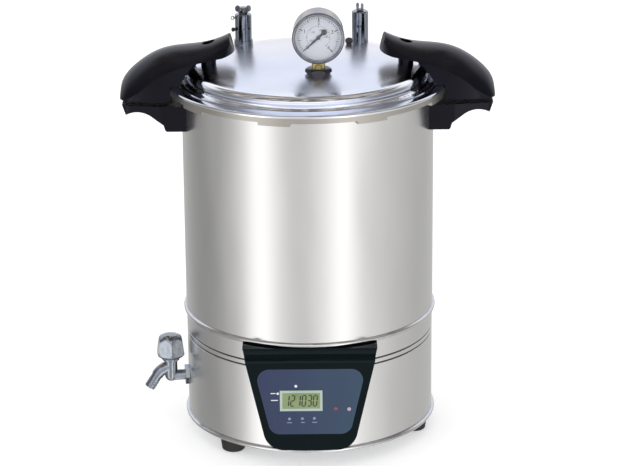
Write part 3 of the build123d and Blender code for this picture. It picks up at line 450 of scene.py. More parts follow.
def add_turned(build, outline, place, steps=40, ring=False, shape=None):
    """Turns an outline of (radius, height) about Z. A shape changes the radius by the angle."""
    before = len(build.verts)
    rows = []
    for step in range(steps):
        angle = 2 * math.pi * step / steps
        row = []
        for number, (radius, height) in enumerate(outline):
            if shape:
                radius, height = shape(angle, radius, height, number)
            point = Vector((radius * math.cos(angle), radius * math.sin(angle), height))
            row.append(build.verts.new(place @ (point * MM)))
        rows.append(row)
    count = len(outline)
    for step in range(steps):
        here, there = rows[step], rows[(step + 1) % steps]
        for low in range(count if ring else count - 1):
            high = (low + 1) % count
            build.faces.new((here[low], there[low], there[high], here[high]))
    close_up(build, before)


def add_plate(build, outline, low, high, place):
    """Gives a flat outline in X and Y a thickness from low to high."""
    before = len(build.verts)
    under = [build.verts.new(place @ (Vector((x, y, low)) * MM)) for x, y in outline]
    over = [build.verts.new(place @ (Vector((x, y, high)) * MM)) for x, y in outline]
    build.faces.new(under)
    build.faces.new(over)
    for number in range(len(outline)):
        after = (number + 1) % len(outline)
        build.faces.new((under[number], under[after], over[after], over[number]))
    close_up(build, before)


def finish_piece(build, name, material, body, stands_for=()):
    """Makes the drawn shapes one piece that rides on a body, smooth but for its sharp edges."""
    bmesh.ops.recalc_face_normals(build, faces=build.faces)
    mesh = bpy.data.meshes.new(name)
    build.to_mesh(mesh)
    build.free()
    mesh.shade_smooth()
    mesh.set_sharp_from_angle(angle=SMOOTH_BELOW)
    mesh.materials.clear()
    mesh.materials.append(material)
    piece = bpy.data.objects.new(name, mesh)
    bpy.context.scene.collection.objects.link(piece)
    if stands_for:
        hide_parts(*stands_for)
    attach(piece, body)
    print(name, len(mesh.polygons), "faces, rides on", body)
    return piece


def middle_of(name):
    low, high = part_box(name)
    return (low + high) / 2


TO_FRONT = Matrix.Rotation(math.pi / 2, 4, "X")
TO_BACK = Matrix.Rotation(-math.pi / 2, 4, "X")
print("drawing helpers ready")

# %% [markdown]
# The tap's knob is a plated casting with six hollowed sides, so that wet fingers can turn it. Its
# sides are scooped, their tops are arched, and a low dome closes it. A lathe outline whose radius
# swings with the angle gives all three: the swing is strongest at half height and fades out
# towards the foot and the dome.

# %% Tap knob
KNOB_SIDES = 6
KNOB_SCOOP = 2.5
KNOB_FULLER = 1.13
KNOB_TALLER = 1.10
low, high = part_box("tap_knob")
knob_centre = (low + high) / 2
knob_height = (high.z - low.z) / MM
knob_turn = math.atan2(knob_centre.y, knob_centre.x)
STEM_HOLE_R = 3.0
STEM_HOLE_H = 14.0
knob_outline = [
    (0.0, STEM_HOLE_H), (STEM_HOLE_R, STEM_HOLE_H), (STEM_HOLE_R, 0.0),
    (8.9, 0.0), (9.3, 0.5), (9.3, 2.0), (9.0, 2.5),
    (11.0, 3.2), (13.8, 4.9), (15.9, 7.0), (16.2, 8.4), (15.9, 12.0), (15.4, 16.0), (14.9, 20.0),
    (14.2, 23.5), (13.4, 25.8), (11.8, 27.6), (8.8, 29.2), (4.8, 30.2), (0.0, 30.5),
]
SCOOP_FROM, SCOOP_TO = 4.5, 27.5


def scooped(angle, radius, height, number):
    """Pulls the middle of each side in, most at half height."""
    if not SCOOP_FROM < height < SCOOP_TO or radius < 5:
        return radius, height
    share = (height - SCOOP_FROM) / (SCOOP_TO - SCOOP_FROM)
    strength = math.sin(math.pi * share) ** 0.6
    side = abs(math.cos(angle * KNOB_SIDES / 2))
    return radius - strength * KNOB_SCOOP * side, height


shape = bmesh.new()
stretch = knob_height / knob_outline[-1][1]
knob_place = Matrix.Translation((knob_centre.x, knob_centre.y, low.z))
knob_size = Matrix.Diagonal((KNOB_FULLER, KNOB_FULLER, stretch * KNOB_TALLER, 1))
knob_place = knob_place @ Matrix.Rotation(knob_turn, 4, "Z") @ knob_size
add_turned(shape, knob_outline, knob_place, steps=72, shape=scooped)
finish_piece(shape, "tap_knob_scooped", chrome, "tap_knob", ["tap_knob"])

# %% [markdown]
# A machined hexagon nut is cut from bar and its corners are turned off at thirty degrees, which
# leaves the arched edge that tells a nut from a plain hexagon. The radius of a hexagon at an angle
# is its half width divided by a cosine, and each corner is lowered by how far it stands out.

# %% Chamfered hexagon nuts
CHAMFER_SLOPE = math.tan(math.radians(30))


def add_nut(build, across, height, hole_r, place, steps=72):
    """A hexagon nut with a hole, its upper corners turned off."""
    half = across / 2

    def hexagon(angle, radius, level, number):
        if number not in (1, 2):
            return radius, level
        side = (angle + math.pi / 6) % (math.pi / 3) - math.pi / 6
        out = half / math.cos(side)
        return out, level - (CHAMFER_SLOPE * (out - half * 0.98) if number == 2 else 0.0)

    outline = [
        (hole_r, 0.0), (half, 0.0), (half, height), (half * 0.95, height), (hole_r, height)
    ]
    add_turned(build, outline, place, steps, ring=True, shape=hexagon)


low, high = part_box("gauge_nut")
nut_centre = (low + high) / 2
nut_height = (high.z - low.z) / MM
shape = bmesh.new()
add_nut(
    shape, (high.y - low.y) / MM, nut_height, 4.0,
    Matrix.Translation((nut_centre.x, nut_centre.y, low.z)) @ Matrix.Rotation(math.pi / 6, 4, "Z")
)
finish_piece(shape, "gauge_nut_chamfered", black_oxide, "lid", ["gauge_nut"])

# %% [markdown]
# Where a thread shows, a spiral and a row of rings look the same at this size. A row of rings is
# what repeats along a line, so a small Geometry Nodes tree makes it: points on a line, a thin ring
# on each point, then real geometry and a material. The same tree serves the thread under the gauge
# and the ridges on the tap's spout.

# %% Geometry Nodes: rings in a row
def new_tree(name, inputs):
    """A Geometry Nodes tree with named inputs and one geometry output."""
    tree = bpy.data.node_groups.new(name, "GeometryNodeTree")
    for label, kind in inputs:
        tree.interface.new_socket(label, in_out="INPUT", socket_type="NodeSocket" + kind)
    tree.interface.new_socket("Geometry", in_out="OUTPUT", socket_type="NodeSocketGeometry")
    return tree, tree.nodes.new("NodeGroupInput").outputs


ring_inputs = [
    ("Count", "Int"), ("Pitch", "Float"), ("Ring radius", "Float"), ("Wire radius", "Float"),
    ("Material", "Material"),
]
ring_tree, given = new_tree("rings_in_a_row", ring_inputs)
offset = add_node(ring_tree, "ShaderNodeCombineXYZ", Z=given["Pitch"])
line = add_node(
    ring_tree, "GeometryNodeMeshLine", Count=given["Count"], Offset=offset.outputs["Vector"]
)
big_circle = add_node(
    ring_tree, "GeometryNodeCurvePrimitiveCircle", Resolution=36, Radius=given["Ring radius"]
)
wire = add_node(
    ring_tree, "GeometryNodeCurvePrimitiveCircle", Resolution=8, Radius=given["Wire radius"]
)
one_ring = add_node(
    ring_tree, "GeometryNodeCurveToMesh",
    Curve=big_circle.outputs["Curve"], Profile_Curve=wire.outputs["Curve"]
)
row = add_node(
    ring_tree, "GeometryNodeInstanceOnPoints",
    Points=line.outputs["Mesh"], Instance=one_ring.outputs["Mesh"]
)
real = add_node(ring_tree, "GeometryNodeRealizeInstances", Geometry=row.outputs["Instances"])
painted = add_node(
    ring_tree, "GeometryNodeSetMaterial",
    Geometry=real.outputs["Geometry"], Material=given["Material"]
)
add_node(ring_tree, "NodeGroupOutput", Geometry=painted.outputs["Geometry"])
print("tree", ring_tree.name, "with", len(ring_tree.nodes), "nodes")

# %% Run a tree and keep its result
def grow(tree, place, **values):
    """Runs a tree and gives its result as a plain mesh in place."""
    seed = bpy.data.objects.new(tree.name, bpy.data.meshes.new(tree.name))
    bpy.context.scene.collection.objects.link(seed)
    modifier = seed.modifiers.new("grow", "NODES")
    modifier.node_group = tree
    for socket in tree.interface.items_tree:
        key = socket.name.replace(" ", "_")
        if socket.in_out == "INPUT" and key in values:
            modifier[socket.identifier] = values[key]
    depsgraph = bpy.context.evaluated_depsgraph_get()
    mesh = bpy.data.meshes.new_from_object(seed.evaluated_get(depsgraph))
    bpy.data.objects.remove(seed)
    mesh.transform(place)
    return mesh


def keep_grown(meshes, name, material, body):
    """Makes one piece of grown meshes, on one body."""
    build = bmesh.new()
    for mesh in meshes:
        build.from_mesh(mesh)
        bpy.data.meshes.remove(mesh)
    return finish_piece(build, name, material, body)


low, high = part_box("gauge_stem")
stem_centre = (low + high) / 2
THREAD_PITCH = 1.1
THREAD_R = 7.3
THREAD_COUNT = 5
THREAD_WIRE_R = 0.62
THREAD_UP = 0.4
thread = grow(
    ring_tree, Matrix.Translation((stem_centre.x, stem_centre.y, low.z + THREAD_UP * MM)),
    Count=THREAD_COUNT, Pitch=THREAD_PITCH * MM, Ring_radius=THREAD_R * MM,
    Wire_radius=THREAD_WIRE_R * MM, Material=brass
)
keep_grown([thread], "gauge_thread", brass, "lid")

# %% [markdown]
# The spout ends in three low ridges that hold a hose. They lie round the spout's own axis. The
# record gives that axis and a middle with the mount at the spout, so the row is placed from there.

# %% Ridges on the spout
spout = next(m for m in frame["record"]["mounts"] if m["name"] == "tap_spout")
spout_axis = Vector(spout["axis"]).normalized()
spout_mid = Vector(spout["pos_m"])
spout_r = spout["dims"]["r_mm"]
spout_length = spout["dims"]["length_mm"]
RIDGE_PITCH = 3.6
RIDGE_COUNT = 3
RIDGE_FROM_END = 9.5
RIDGE_WIRE_R = 0.7
RIDGE_SUNK = 0.2
spout_turn = spout_axis.to_track_quat("Z", "Y").to_matrix().to_4x4()
along_spout = Matrix.Translation(spout_mid) @ spout_turn
ridges = grow(
    ring_tree, along_spout @ Matrix.Translation((0, 0, (spout_length / 2 - RIDGE_FROM_END) * MM)),
    Count=RIDGE_COUNT, Pitch=RIDGE_PITCH * MM, Ring_radius=(spout_r - RIDGE_SUNK) * MM,
    Wire_radius=RIDGE_WIRE_R * MM, Material=chrome
)
keep_grown([ridges], "spout_ridges", chrome, "body")

# %% [markdown]
# The dial carries a printed scale: fine ticks, longer ones at each half and whole step, and plain
# numbers. Ticks repeat along an arc, so a second tree makes them: an arc, a thin bar on each of its
# points, and each bar turned to point at the centre.

# %% Geometry Nodes: ticks on an arc
tick_inputs = [
    ("Count", "Int"), ("Radius", "Float"), ("Start", "Float"), ("Sweep", "Float"),
    ("Length", "Float"), ("Width", "Float"), ("Thickness", "Float"), ("Material", "Material"),
]
tick_tree, given = new_tree("ticks_on_an_arc", tick_inputs)
arc = add_node(
    tick_tree, "GeometryNodeCurveArc", {"mode": "RADIUS"}, Resolution=given["Count"],
    Radius=given["Radius"], Start_Angle=given["Start"], Sweep_Angle=given["Sweep"]
)
bar_size = add_node(
    tick_tree, "ShaderNodeCombineXYZ", X=given["Length"], Y=given["Width"], Z=given["Thickness"]
)
bar = add_node(tick_tree, "GeometryNodeMeshCube", Size=bar_size.outputs["Vector"])
from_centre = add_node(tick_tree, "GeometryNodeInputPosition")
facing = add_node(
    tick_tree, "FunctionNodeAlignRotationToVector", {"axis": "X", "pivot_axis": "Z"},
    Vector=from_centre.outputs["Position"]
)
bars = add_node(
    tick_tree, "GeometryNodeInstanceOnPoints", Points=arc.outputs["Curve"],
    Instance=bar.outputs["Mesh"], Rotation=facing.outputs["Rotation"]
)
real = add_node(tick_tree, "GeometryNodeRealizeInstances", Geometry=bars.outputs["Instances"])
painted = add_node(
    tick_tree, "GeometryNodeSetMaterial",
    Geometry=real.outputs["Geometry"], Material=given["Material"]
)
add_node(tick_tree, "NodeGroupOutput", Geometry=painted.outputs["Geometry"])
print("tree", tick_tree.name, "with", len(tick_tree.nodes), "nodes")

# %% The dial's ticks
DIAL_START = math.radians(-47)
DIAL_SWEEP = math.radians(270)
DIAL_BEHIND_NEEDLE = 1.2
INK_T = 0.06
dial_middle = middle_of("gauge_glass")
dial_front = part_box("gauge_needle")[1].y + DIAL_BEHIND_NEEDLE * MM
ink_y = dial_front - INK_T / 2 * MM
dial_place = Matrix.Translation((dial_middle.x, ink_y, dial_middle.z)) @ TO_FRONT
tick_rows = (
    (41, 23.2, 2.2, 0.55),
    (9, 22.6, 3.4, 0.80),
    (5, 22.2, 4.4, 1.15),
    (31, 13.6, 1.4, 0.45),
    (7, 13.2, 2.2, 0.65),
)
ticks = [
    grow(
        tick_tree, dial_place, Count=count, Radius=radius * MM, Start=DIAL_START,
        Sweep=DIAL_SWEEP, Length=length * MM, Width=width * MM, Thickness=INK_T * MM,
        Material=dial_ink
    )
    for count, radius, length, width in tick_rows
]
keep_grown(ticks, "dial_ticks", dial_ink, "lid")

# %% [markdown]
# The numbers are Blender text. A text object is turned into a mesh first, while it still lies flat
# at the origin, and only then moved to its place, so that no turn is left on the object.

# %% The dial's numbers
def add_text(build, words, size_mm, place):
    """Plain figures, centred, as thin solid print."""
    font = bpy.data.curves.new("figures", "FONT")
    font.body = words
    font.size = size_mm * MM
    font.extrude = INK_T / 2 * MM
    font.resolution_u = 3
    font.align_x = "CENTER"
    font.align_y = "CENTER"
    writing = bpy.data.objects.new("figures", font)
    bpy.context.scene.collection.objects.link(writing)
    depsgraph = bpy.context.evaluated_depsgraph_get()
    mesh = bpy.data.meshes.new_from_object(writing.evaluated_get(depsgraph))
    bpy.data.objects.remove(writing)
    mesh.transform(place)
    before = len(build.verts)
    build.from_mesh(mesh)
    bpy.data.meshes.remove(mesh)
    close_up(build, before)


def around_dial(radius, share):
    """A place on the dial at a share of the scale, upright."""
    angle = DIAL_START + DIAL_SWEEP * (1 - share)
    return dial_place @ Matrix.Translation(
        (radius * MM * math.cos(angle), radius * MM * math.sin(angle), 0)
    )


OUTER_NUMBERS = ("0", "1", "2", "3", "4")
OUTER_SIZE, OUTER_R = 6.6, 17.4
INNER_NUMBERS = ("100", "110", "120", "130")
INNER_SIZE, INNER_R, INNER_SHIFT = 3.6, 9.0, 0.25
shape = bmesh.new()
for number, words in enumerate(OUTER_NUMBERS):
    place = around_dial(OUTER_R, number / (len(OUTER_NUMBERS) - 1))
    add_text(shape, words, OUTER_SIZE, place)
for number, words in enumerate(INNER_NUMBERS):
    place = around_dial(INNER_R, (number + INNER_SHIFT) / len(INNER_NUMBERS))
    add_text(shape, words, INNER_SIZE, place)
finish_piece(shape, "dial_numbers", dial_ink, "lid")

# %% [markdown]
# The display is a liquid crystal one, with plain seven-segment figures. Each segment is a bar with
# pointed ends, and a figure is a choice of segments, so a short table of which segments each
# figure lights and one loop draw them all. The figures lean a little, as such figures do.

# %% Figures on the display
SEGMENT_W = 1.45
FIGURE_W = 4.1
FIGURE_H = 13.4
FIGURE_PITCH = 6.6
LEAN = math.tan(math.radians(5))
SEGMENT_GAP = 0.25
PRINT_LOW, FIGURE_TOP, MARK_TOP = 0.01, 0.07, 0.08
SEGMENTS = {
    "top": (0, 1, False), "middle": (0, 0, False), "bottom": (0, -1, False),
    "upper_left": (-1, 0.5, True), "upper_right": (1, 0.5, True),
    "lower_left": (-1, -0.5, True), "lower_right": (1, -0.5, True),
}
LIT = {
    "0": ("top", "bottom", "upper_left", "upper_right", "lower_left", "lower_right"),
    "1": ("upper_right", "lower_right"),
    "2": ("top", "middle", "bottom", "upper_right", "lower_left"),
    "3": ("top", "middle", "bottom", "upper_right", "lower_right"),
}


def segment_outline(centre_x, centre_y, upright):
    """Six points of a bar with pointed ends, leaned over with its figure."""
    half_l = (FIGURE_H / 4 if upright else FIGURE_W / 2) - SEGMENT_GAP
    half_w = SEGMENT_W / 2
    tip = half_l - half_w
    points = [
        (-half_l, 0), (-tip, half_w), (tip, half_w), (half_l, 0), (tip, -half_w), (-tip, -half_w)
    ]
    if upright:
        points = [(y, x) for x, y in points]
    points = [(centre_x + x, centre_y + y) for x, y in points]
    return [(x + LEAN * y, y) for x, y in points]


low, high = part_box("display_window")
window_middle = (low + high) / 2
window_place = Matrix.Translation((window_middle.x, low.y, window_middle.z)) @ TO_FRONT
figures = "121030"
shape = bmesh.new()
for number, figure in enumerate(figures):
    middle = (number - (len(figures) - 1) / 2) * FIGURE_PITCH
    for segment in LIT[figure]:
        x, y, upright = SEGMENTS[segment]
        outline = segment_outline(x * FIGURE_W / 2, y * FIGURE_H / 2, upright)
        outline = [(middle + a, b) for a, b in outline]
        add_plate(shape, outline, PRINT_LOW, FIGURE_TOP, window_place)
finish_piece(shape, "display_figures", segment_ink, "body")

# %% [markdown]
# The film of the panel carries small printed marks and two lamps' lenses: a white dot over the
# display, a dot and two short bars at its left, three keys with a bar under each, and two lenses at
# the right. All have round ends, so one outline serves: a bar whose ends are half circles, which is
# a dot when it is as long as it is wide.

# %% Marks on the panel
def pill(width, height, points_each_end=10):
    """A flat bar with half round ends, or a dot where width and height are the same."""
    radius = height / 2
    reach = width / 2 - radius
    outline = []
    for side in (1, -1):
        for step in range(points_each_end + 1):
            angle = math.pi * (step / points_each_end - 0.5) + (0 if side > 0 else math.pi)
            outline.append((side * reach + radius * math.cos(angle), radius * math.sin(angle)))
    return outline


film_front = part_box("panel_membrane")[0].y
mark_rows = {
    "white_marks": (white_ink, "white_silicone", [
        (-16.8, 107.9, 3.4, 3.4), (-38.1, 98.6, 3.0, 3.0), (-43.6, 98.9, 6.0, 1.1),
        (-42.0, 90.2, 8.4, 1.1),
    ]),
    "key_marks": (lilac_ink, "white_silicone", [
        (-24.7, 66.6, 3.4, 3.4), (-9.5, 66.8, 3.2, 3.2), (4.5, 67.0, 3.4, 3.4),
        (-24.7, 61.8, 6.0, 1.0), (-9.0, 61.9, 4.8, 1.0), (5.0, 62.0, 6.0, 1.0),
    ]),
}
for name, (ink, slot, marks) in mark_rows.items():
    shape = bmesh.new()
    for x, z, width, height in marks:
        place = Matrix.Translation((x * MM, film_front, z * MM)) @ TO_FRONT
        add_plate(shape, pill(width, height), PRINT_LOW, MARK_TOP, place)
    finish_piece(shape, "panel_" + name, ink, "body")

# %% Lenses of the two lamps
lens_outline = [
    (0.0, 0.02), (2.3, 0.02), (2.3, 0.35), (2.0, 0.62), (1.3, 0.85), (0.6, 0.96), (0.0, 1.0)
]
for name, glow, x, z in (("red", red_lens, 29.9, 79.2), ("rose", rose_lens, 45.5, 78.5)):
    shape = bmesh.new()
    place = Matrix.Translation((x * MM, film_front, z * MM)) @ TO_FRONT
    add_turned(shape, lens_outline, place, steps=28)
    finish_piece(shape, "lamp_lens_" + name, glow, "body")

# %% [markdown]
# Each upper handle is held by a screw with a domed head and a cross recess. The head is turned, and
# the cross is cut out of it by a Boolean, as the punch does on the real screw. The outcome is kept
# as a plain mesh.

# %% Handle screws
CROSS_L, CROSS_W, CROSS_DEPTH = 5.6, 1.1, 1.8
CROSS_FOR_R = 5.5


def screw_head(name, radius, height, place, body, stands_for=()):
    """A domed head with its flat side on the place. The cross is sized to the head."""
    head = bmesh.new()
    outline = [(0.0, 0.0), (radius, 0.0), (radius, height * 0.35), (radius * 0.94, height * 0.6)]
    outline += [(radius * 0.78, height * 0.84), (radius * 0.5, height * 0.97), (0.0, height)]
    add_turned(head, outline, place, steps=40)
    size = radius / CROSS_FOR_R
    cut = bmesh.new()
    arm, half = CROSS_L / 2 * size, CROSS_W / 2 * size
    cross = [
        (arm, -half), (arm, half), (half, half), (half, arm), (-half, arm), (-half, half),
        (-arm, half), (-arm, -half), (-half, -half), (-half, -arm), (half, -arm), (half, -half),
    ]
    add_plate(cut, cross, height - CROSS_DEPTH * size, height + 1.0, place)
    blanks = []
    for label, build in (("plain_head", head), ("cross_cutter", cut)):
        bmesh.ops.recalc_face_normals(build, faces=build.faces)
        blank = bpy.data.objects.new(label, bpy.data.meshes.new(label))
        build.to_mesh(blank.data)
        build.free()
        bpy.context.scene.collection.objects.link(blank)
        blanks.append(blank)
    punch = blanks[0].modifiers.new("cross", "BOOLEAN")
    punch.operation = "DIFFERENCE"
    punch.object = blanks[1]
    depsgraph = bpy.context.evaluated_depsgraph_get()
    punched = bpy.data.meshes.new_from_object(blanks[0].evaluated_get(depsgraph))
    finished = bmesh.new()
    finished.from_mesh(punched)
    bpy.data.meshes.remove(punched)
    for blank in blanks:
        bpy.data.objects.remove(blank)
    return finish_piece(finished, name, screw_steel, body, stands_for)


for side in ("left", "right"):
    low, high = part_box("handle_screw_" + side)
    place = Matrix.Translation(((low.x + high.x) / 2, (low.y + high.y) / 2, low.z))
    screw_head(
        "handle_screw_cross_" + side, (high.x - low.x) / 2 / MM, (high.z - low.z) / MM, place,
        "lid", ["handle_screw_" + side]
    )

# %% [markdown]
# The gauge's bezel is a rolled ring of thin sheet. Its front is one round curve, so it shows the
# whole room in a narrow band: a dark line outside and a bright one inside. A lathe outline with a
# round front gives that, where the plain ring of the drawing has only small round edges.

# %% Rolled bezel
low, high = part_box("gauge_glass")
bezel_in = (high.x - low.x) / 2 / MM
low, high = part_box("gauge_bezel")
bezel_middle = (low + high) / 2
bezel_r = (high.x - low.x) / 2 / MM
bezel_depth = (high.y - low.y) / MM
FRONT_LIP = 0.8
bezel_outline = [(bezel_in, 1.2), (bezel_in + 0.2, 0.4), (bezel_in + FRONT_LIP, 0.0)]
ROLL_STEPS = 7
roll = bezel_r - bezel_in - FRONT_LIP
for step in range(1, ROLL_STEPS + 1):
    turn = math.pi / 2 * step / ROLL_STEPS
    bezel_outline.append((bezel_r - roll + roll * math.sin(turn), roll * (1 - math.cos(turn))))
bezel_outline += [(bezel_r, bezel_depth), (bezel_in, bezel_depth)]
shape = bmesh.new()
bezel_place = Matrix.Translation((bezel_middle.x, low.y, bezel_middle.z)) @ TO_BACK
add_turned(shape, bezel_outline, bezel_place, steps=96, ring=True)
finish_piece(shape, "gauge_bezel_rolled", gauge_steel, "lid", ["gauge_bezel"])

# %% [markdown]
# The needle is a flat black pointer with a broad tail that balances it. It turns with the gauge's
# spindle, so it rides on the needle's own body and keeps the drawing's axis. Its direction follows
# from the box of the drawn needle, whose tip is at the box's lower left corner.

# %% Needle
hub = next(j for j in frame["joints"] if j["name"] == "needle_swing")["pos_m"]
low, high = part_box("gauge_needle")
NEEDLE_L = 23.0
needle_angle = math.atan2(low.z - hub[2], low.x - hub[0])
NEEDLE_T = 0.6
TAIL_R, TAIL_AT, TAIL_T = 3.3, -9.4, 0.62
needle_outline = [
    (TAIL_AT, -1.2), (0.0, -1.45), (NEEDLE_L - 5, -0.6),
    (NEEDLE_L, 0.0), (NEEDLE_L - 5, 0.6), (0.0, 1.45), (TAIL_AT, 1.2),
]
needle_place = Matrix.Translation((hub[0], high.y, hub[2])) @ TO_FRONT
needle_place = needle_place @ Matrix.Rotation(needle_angle, 4, "Z")
shape = bmesh.new()
add_plate(shape, needle_outline, 0.0, NEEDLE_T, needle_place)
hub_outline = [(0.0, 0.5), (2.4, 0.5), (2.4, 1.1), (1.7, 1.4), (0.0, 1.5)]
add_turned(shape, hub_outline, needle_place, steps=28)
tail = needle_place @ Matrix.Translation((TAIL_AT * MM, 0.0, 0.0))
tail_outline = [(0.0, 0.0), (TAIL_R, 0.0), (TAIL_R, TAIL_T), (0.0, TAIL_T)]
add_turned(shape, tail_outline, tail, steps=32)
finish_piece(
    shape, "needle_pointer", needle_paint, "gauge_needle", ["gauge_needle"]
)

# %% [markdown]
# The exhaust valve blows out through a short side nozzle with a dark ball tip, and a small ring
# sits on a pin above it. The nozzle points along the line from the valve's axis through the drawn
# nozzle, so both are placed on that line.

# %% Nozzle tip and ring of the exhaust valve
valve = next(j for j in frame["joints"] if j["name"] == "exhaust_turn")["pos_m"]
nozzle = middle_of("exhaust_nozzle")
out = Vector((nozzle.x - valve[0], nozzle.y - valve[1], 0.0)).normalized()
VALVE_R = 10.2
out_turn = out.to_track_quat("Z", "Y").to_matrix().to_4x4()
nozzle_place = Matrix.Translation((valve[0], valve[1], nozzle.z)) @ out_turn
nozzle_outline = [
    (0.9, VALVE_R + 4.6), (1.6, VALVE_R + 4.8), (2.5, VALVE_R + 4.1), (2.8, VALVE_R + 3.0),
    (2.5, VALVE_R + 1.9), (1.8, VALVE_R + 1.2), (1.8, VALVE_R - 0.6), (0.9, VALVE_R - 0.6),
]
shape = bmesh.new()
add_turned(shape, nozzle_outline, nozzle_place, steps=32, ring=True)
finish_piece(shape, "nozzle_ball_tip", black_oxide, "lid", ["exhaust_nozzle"])


WIRE_STEPS = 10


def add_wire_ring(build, ring_r, wire_r, place, steps=32):
    """A ring of round wire, lying flat in the place's X and Y."""
    outline = []
    for step in range(WIRE_STEPS):
        turn = 2 * math.pi * step / WIRE_STEPS
        outline.append((ring_r + wire_r * math.cos(turn), wire_r * math.sin(turn)))
    add_turned(build, outline, place, steps, ring=True)


PIN_DROP = 4.0
PIN_RING_R, PIN_RING_WIRE, PIN_RING_OUT = 2.0, 0.5, 3.4
body_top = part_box("safety_valve_body")[1].z
pin_place = Matrix.Translation((valve[0], valve[1], body_top - PIN_DROP * MM)) @ out_turn
pin_outline = [
    (0.0, VALVE_R - 0.8), (1.0, VALVE_R - 0.8), (1.0, VALVE_R + 1.2), (1.6, VALVE_R + 1.4),
    (1.6, VALVE_R + 2.2), (0.0, VALVE_R + 2.4),
]
shape = bmesh.new()
add_turned(shape, pin_outline, pin_place, steps=20)
ring_place = pin_place @ Matrix.Translation((0, 0, (VALVE_R + PIN_RING_OUT) * MM))
ring_place = ring_place @ Matrix.Rotation(math.pi / 2, 4, "Y")
add_wire_ring(shape, PIN_RING_R, PIN_RING_WIRE, ring_place)
finish_piece(shape, "valve_pin_ring", chrome, "lid")

# %% [markdown]
# The safety valve is tested by a pull. Its stem ends in a fork of two bright uprights with a small
# ring on one of them. It slides with the stem's own body.

# %% Pull fork of the safety valve
low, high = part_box("safety_valve_stem")
stem = (low + high) / 2
STEM_FACE = 2.1
stem_top = body_top / MM
shape = bmesh.new()
stem_place = Matrix.Translation((stem.x, stem.y, 0.0))
stem_outline = [
    (0.0, low.z / MM), (STEM_FACE, low.z / MM), (STEM_FACE, stem_top + 0.6),
    (4.6, stem_top + 0.8), (4.8, stem_top + 1.6), (4.2, stem_top + 2.4), (0.0, stem_top + 2.4),
]
add_turned(shape, stem_outline, stem_place, steps=32)
UPRIGHT_H, UPRIGHT_HALF_T = 10.0, 1.1
EYE_R, EYE_WIRE = 1.5, 0.5
upright_place = Matrix.Translation((stem.x, stem.y, body_top)) @ TO_FRONT
for middle, top in ((-3.0, UPRIGHT_H), (2.6, UPRIGHT_H - 0.8)):
    upright = [
        (middle - 1.7, 2.0), (middle + 1.7, 2.0), (middle + 1.7, top - 1.6),
        (middle + 1.1, top - 0.5), (middle, top), (middle - 1.1, top - 0.5),
        (middle - 1.7, top - 1.6),
    ]
    add_plate(shape, upright, -UPRIGHT_HALF_T, UPRIGHT_HALF_T, upright_place)
eye = upright_place @ Matrix.Translation((-3.0 * MM, 7.2 * MM, 1.6 * MM))
add_wire_ring(shape, EYE_R, EYE_WIRE, eye)
finish_piece(
    shape, "safety_pull_fork", gauge_steel, "safety_stem", ["safety_valve_stem"]
)

# %% [markdown]
# Steam leaves the safety valve through a small round hole in its side, with a turned edge. The
# body stays whole: a dark lip stands for the edge, and a flat dark disc in it is painted shade.

# %% Hole of the safety valve
low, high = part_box("safety_valve_body")
VENT_DROP = 17.5
VENT_AZIMUTH = math.radians(-15)
body_r = (high.x - low.x) / 2 / MM
valve_middle = (low + high) / 2
vent_z = high.z - VENT_DROP * MM
vent_place = Matrix.Translation((valve_middle.x, valve_middle.y, vent_z))
vent_place = vent_place @ Matrix.Rotation(VENT_AZIMUTH, 4, "Z") @ TO_FRONT
# The flat dark middle of this outline is painted shade where the hole would be; the lip round it is the turned
# edge.
vent_outline = [
    (0.0, body_r - 0.5), (1.7, body_r - 0.5), (1.7, body_r + 0.10), (1.4, body_r + 0.16),
    (1.2, body_r + 0.03), (0.0, body_r + 0.03),
]
shape = bmesh.new()
add_turned(shape, vent_outline, vent_place, steps=28)
finish_piece(shape, "safety_vent_eyelet", black_oxide, "lid")

# %% [markdown]
# The exhaust valve is opened by a wing knob: a wide hub with two round ears. The hub is a lathe
# outline, and each ear is a plate with a round outline.

# %% Wing knob
low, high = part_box("exhaust_wing_knob")
wing_height = (high.z - low.z) / MM
wing_place = Matrix.Translation((valve[0], valve[1], low.z))
shape = bmesh.new()
hub_outline = [
    (0.0, 0.0), (5.4, 0.0), (5.4, 1.0), (6.6, 2.2), (7.0, 4.0), (6.8, 6.4), (5.6, 7.6), (0.0, 8.0)
]
add_turned(shape, hub_outline, wing_place, steps=40)
EAR_R, EAR_SLIM, EAR_AT, EAR_HALF_T, EAR_STEPS = 3.9, 0.82, 6.6, 1.3, 24
for side in (-1, 1):
    ear = []
    for step in range(EAR_STEPS):
        turn = 2 * math.pi * step / EAR_STEPS
        ear.append((side * EAR_AT + EAR_R * EAR_SLIM * math.cos(turn), EAR_R * math.sin(turn)))
    ear_place = wing_place @ Matrix.Translation((0, 0, (wing_height - EAR_R) * MM)) @ TO_FRONT
    add_plate(shape, ear, -EAR_HALF_T, EAR_HALF_T, ear_place)
finish_piece(
    shape, "wing_knob_round", dark_nickel, "exhaust_knob", ["exhaust_wing_knob"]
)

# %% [markdown]
# Under each upper handle's roof the web runs in over the lid's rim towards the boss of the screw. It
# is a moulded rib: a plate under the roof with a slanted inner edge. Its top ends inside the roof.

# %% Inner webs of the upper handles
RIB_HALF = 8.0
for side, sign in (("left", -1), ("right", 1)):
    rib = [(sign * x, z) for x, z in ((150, 442), (137, 444), (125, 470), (150, 468))]
    shape = bmesh.new()
    add_plate(shape, rib, -RIB_HALF, RIB_HALF, TO_FRONT)
    finish_piece(shape, "handle_rib_" + side, phenolic, "lid")

# %% [markdown]
# The relief plug is a moulded button: a round head on a waist, pushed into a hole in the lid. It is
# one lathe outline.

